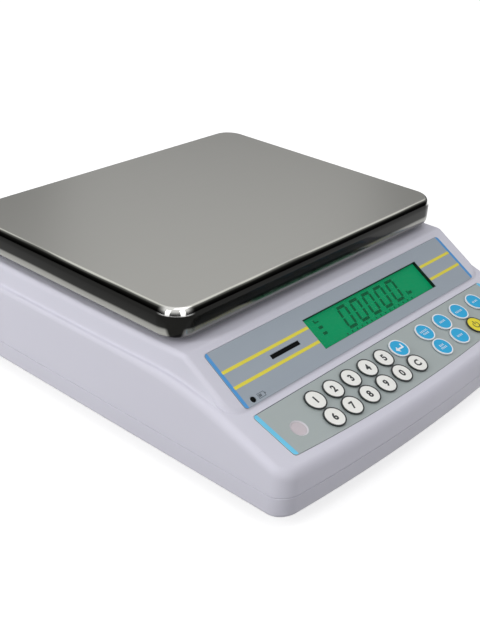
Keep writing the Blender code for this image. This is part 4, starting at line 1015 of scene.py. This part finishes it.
def make_keys():
    top, r = KEY_HIGH - 0.04, KEY_RADIUS
    face = [(0.0, KEY_HIGH - 0.02), (3.0, KEY_HIGH - 0.03), (6.6, top - 0.01), (r - 0.75, top - 0.03)]
    face += [(r - 0.2, top - 0.08), (r - 0.05, top - 0.25), (r - 0.05, KEY_LOW)]
    face += [(KEY_STEM, KEY_LOW), (KEY_STEM, KEY_STEM_END), (0.0, KEY_STEM_END)]
    inner, low = r - 0.95, KEY_LOW + 0.02
    rim = [(inner, low), (r, low), (r, KEY_HIGH), (inner, KEY_HIGH)]
    digits = {f"key_{i}": str(i) for i in range(10)}
    digits["key_clear"] = "C"
    for name, x, depth in key_places():
        body = f"{name}_body"
        mat, slot, rim_mat, legend_mat = key_look(name)
        place = KEYPAD_FRAME @ Matrix.Translation((x * MM, -depth * MM, 0.0))
        bm = bmesh.new()
        turned_mesh(bm, face, 64)
        settle(f"{name}_cap", to_mesh("cap", bm), [mat], body, place, (name,))
        bm = bmesh.new()
        revolved_ring(bm, rim, 64)
        settle(f"{name}_rim", to_mesh("rim", bm), [rim_mat], body, place)
        legend = f"{name}_legend"
        if name in digits:
            mesh = glyph_mesh(digits[name], 7.4, LEGEND_LOW, LEGEND_HIGH)
            settle(legend, mesh, [legend_mat], body, place)
        else:
            shapes = legend_shapes(name)
            flat(legend, shapes, LEGEND_LOW, LEGEND_HIGH, legend_mat, place, body)


# --- the pan ---


def make_pan():
    edge = outline(PAN_HALF_WIDTH, -PAN_HALF_DEPTH, PAN_HALF_DEPTH, PAN_CORNER, PAN_CORNER)

    def level_rings(side):
        return [ring(edge, lambda y, d=d: d, lambda x, y, z=z: z) for d, z in side]

    side = []
    for a in quarter(5):  # the hem curls in under the skirt
        side.append((PAN_HEM_IN * (1.0 - math.sin(a)), PAN_RIM + PAN_HEM_UP * (1.0 - math.cos(a))))
    for a in quarter(12):  # the fold from skirt to top
        side.append((PAN_FOLD_IN * (1.0 - math.cos(a)), PAN_TOP - PAN_FOLD_DOWN * (1.0 - math.sin(a))))
    outside = level_rings(side)
    under = PAN_TOP - PAN_SHEET
    inner_side = [(PAN_HEM_IN + PAN_SHEET, PAN_RIM), (1.2 + PAN_SHEET, PAN_RIM + 3.5)]
    inner_side += [(PAN_SHEET + 0.6, under - 5.0), (PAN_SHEET + 3.2, under)]
    inside = level_rings(inner_side)
    bm = bmesh.new()
    outer, inner = skin(bm, outside), skin(bm, inside, inward=True)
    for face in bm.faces:
        face.material_index = 1
    close(bm, outer[-1])
    close(bm, inner[-1], inward=True)
    bridge(bm, outer[0], inner[0], facing_down=True)
    place = Matrix.Translation((0.0, PAN_Y * MM, 0.0))
    mesh = to_mesh("pan", bm)
    # The skirt and the pan's inside take the steel with painted reflections
    settle(
        "pan_skin", mesh, [pan_satin, pan_skirt_painted], "pan", place,
        ("weighing_pan",), angle=60.0, weighted=True,
    )


# --- connectors and small things at the back ---


def make_port_details():
    facing = Matrix.Translation((PORT_X * MM, BAY_FLOOR * MM, PORT_Z * MM))
    facing = facing @ Matrix.Rotation(math.radians(-90.0), 4, "X")
    bm = bmesh.new()
    box(bm, (-7.0, -3.6, 5.9), (7.0, 3.6, 6.15))
    settle("port_insert", to_mesh("insert", bm), [dark_plastic], "case", facing)
    bm = bmesh.new()
    pin, pitch = [(0.0, 6.5), (0.35, 6.4), (0.5, 6.1), (0.5, 6.0), (0.0, 6.0)], 2.6
    for row, count in ((1.5, 5), (-1.5, 4)):
        for i in range(count):
            turned_mesh(bm, pin, 16, (i - (count - 1) / 2) * pitch, row)
    settle("port_contacts", to_mesh("contacts", bm), [gold], "case", facing)


make_upper_case()
make_lower_case()
make_feet()
make_display()
make_keypad_prints()
make_level()
make_keys()
make_pan()
make_port_details()


# --- floor, light and camera ---


def make_floor():
    bm = bmesh.new()
    bmesh.ops.create_grid(bm, x_segments=8, y_segments=8, size=6000.0)
    mesh = to_mesh("floor", bm)
    obj = bpy.data.objects.new("floor", mesh)
    bpy.context.scene.collection.objects.link(obj)
    obj.location.z = -0.0002
    finish = Finish("floor_pale", (0.62, 0.62, 0.62), 0.9)
    finish.mottle(2.0, 0.01).satin(5.0, 0.03).bump(400.0, 0.00002)
    finish.set("Emission Color", (1.0, 1.0, 1.0, 1.0)).set("Emission Strength", 0.66)
    mesh.materials.append(finish.mat)
    obj.visible_diffuse = False


def make_light(name, azimuth, elevation, distance, size, power, lights=True, mirrored=True):
    """A soft light aimed at the middle of the scale; azimuth 0 is the front, -90 the left.

    One that lights isn't always mirrored in the steel, and one that is mirrored doesn't always light.
    """
    light = bpy.data.lights.new(name, "AREA")
    light.shape = "RECTANGLE"
    light.size, light.size_y = size
    light.energy = power
    a, e = math.radians(azimuth), math.radians(elevation)
    away = Vector((math.sin(a) * math.cos(e), -math.cos(a) * math.cos(e), math.sin(e)))
    obj = bpy.data.objects.new(name, light)
    bpy.context.scene.collection.objects.link(obj)
    obj.location = Vector((0.0, 0.0, 0.06)) + away * distance
    obj.rotation_euler = away.to_track_quat("Z", "Y").to_euler()
    obj.visible_diffuse = lights
    obj.visible_glossy = mirrored


def make_world():
    """Even fill for matt surfaces, a dark horizon under light for what steel mirrors, a pale backdrop."""
    world = bpy.data.worlds.new("studio")
    bpy.context.scene.world = world
    world.use_nodes = True
    nodes, links = world.node_tree.nodes, world.node_tree.links
    split = nodes.new("ShaderNodeSeparateXYZ")
    links.new(nodes.new("ShaderNodeTexCoord").outputs["Generated"], split.inputs["Vector"])
    height = nodes.new("ShaderNodeMapRange")
    height.inputs["From Min"].default_value = -1.0
    links.new(split.outputs["Z"], height.inputs["Value"])
    path = nodes.new("ShaderNodeLightPath")

    def gradient(background, stops, blue):
        """Brightness by height: 0 is straight down, 0.5 the horizon, 1 straight up."""
        ramp = nodes.new("ShaderNodeValToRGB")
        for k, (place, value) in enumerate(stops):
            element = ramp.color_ramp.elements[k] if k < 2 else ramp.color_ramp.elements.new(place)
            element.position = place
            element.color = (value, value, value * blue, 1.0)
        links.new(height.outputs["Result"], ramp.inputs["Fac"])
        links.new(ramp.outputs["Color"], background.inputs["Color"])

    def instead(ray, usual, special):
        """The special shader for rays of this kind and the usual one for the others."""
        mix = nodes.new("ShaderNodeMixShader")
        links.new(path.outputs[ray], mix.inputs["Fac"])
        links.new(usual.outputs[0], mix.inputs[1])
        links.new(special.outputs[0], mix.inputs[2])
        return mix

    fill = nodes["Background"]
    gradient(fill, ((0.0, 0.10), (0.42, 0.15), (0.60, 0.50), (1.0, 0.62)), 1.02)
    mirrored = nodes.new("ShaderNodeBackground")
    bands = ((0.0, 0.012), (0.54, 0.014), (0.61, 0.11), (0.68, 0.27), (0.76, 0.55), (1.0, 0.8))
    gradient(mirrored, bands, 0.98)
    backdrop = nodes.new("ShaderNodeBackground")
    backdrop.inputs["Color"].default_value = (0.98, 0.98, 0.98, 1.0)
    shown = instead("Is Camera Ray", instead("Is Glossy Ray", fill, mirrored), backdrop)
    links.new(shown.outputs["Shader"], nodes["World Output"].inputs["Surface"])


def make_camera():
    """The photo's camera: a fit to points on the pan, the labels, the keys and the case."""
    data = bpy.data.cameras.new("camera")
    camera = bpy.data.objects.new("camera", data)
    bpy.context.scene.collection.objects.link(camera)
    data.sensor_fit = "AUTO"
    data.sensor_width = 36.0
    data.lens = 57.64
    data.shift_x = 0.03
    data.clip_start = 0.01
    az, el, roll = math.radians(-49.443), math.radians(28.051), math.radians(3.057)
    back = Vector((math.sin(az) * math.cos(el), -math.cos(az) * math.cos(el), math.sin(el)))
    level = (-back).cross(Vector((0.0, 0.0, 1.0))).normalized()
    plumb = level.cross(-back)
    right = level * math.cos(roll) + plumb * math.sin(roll)
    up = plumb * math.cos(roll) - level * math.sin(roll)
    rows = Matrix((right, up, back)).transposed().to_4x4()
    camera.matrix_world = Matrix.Translation(Vector((-544.7, -446.1, 398.7)) * MM) @ rows
    bpy.context.scene.camera = camera


make_floor()
make_light("overhead", 30.0, 76.0, 1.5, (1.2, 0.9), 3.2)
make_light("left_box", -100.0, 22.0, 1.2, (0.22, 0.8), 6.4, mirrored=False)
make_light("right_box", -14.0, 22.0, 1.2, (0.12, 0.8), 1.1, mirrored=False)
make_light("left_glint", -77.0, 22.0, 1.1, (0.32, 1.0), 1.2, lights=False)
make_light("right_glint", -21.0, 22.0, 1.1, (0.36, 1.0), 1.4, lights=False)
make_light("back_box", 132.0, 27.0, 1.5, (0.7, 0.6), 0.3)
make_world()
make_camera()
bpy.context.scene.view_settings.view_transform = "Standard"
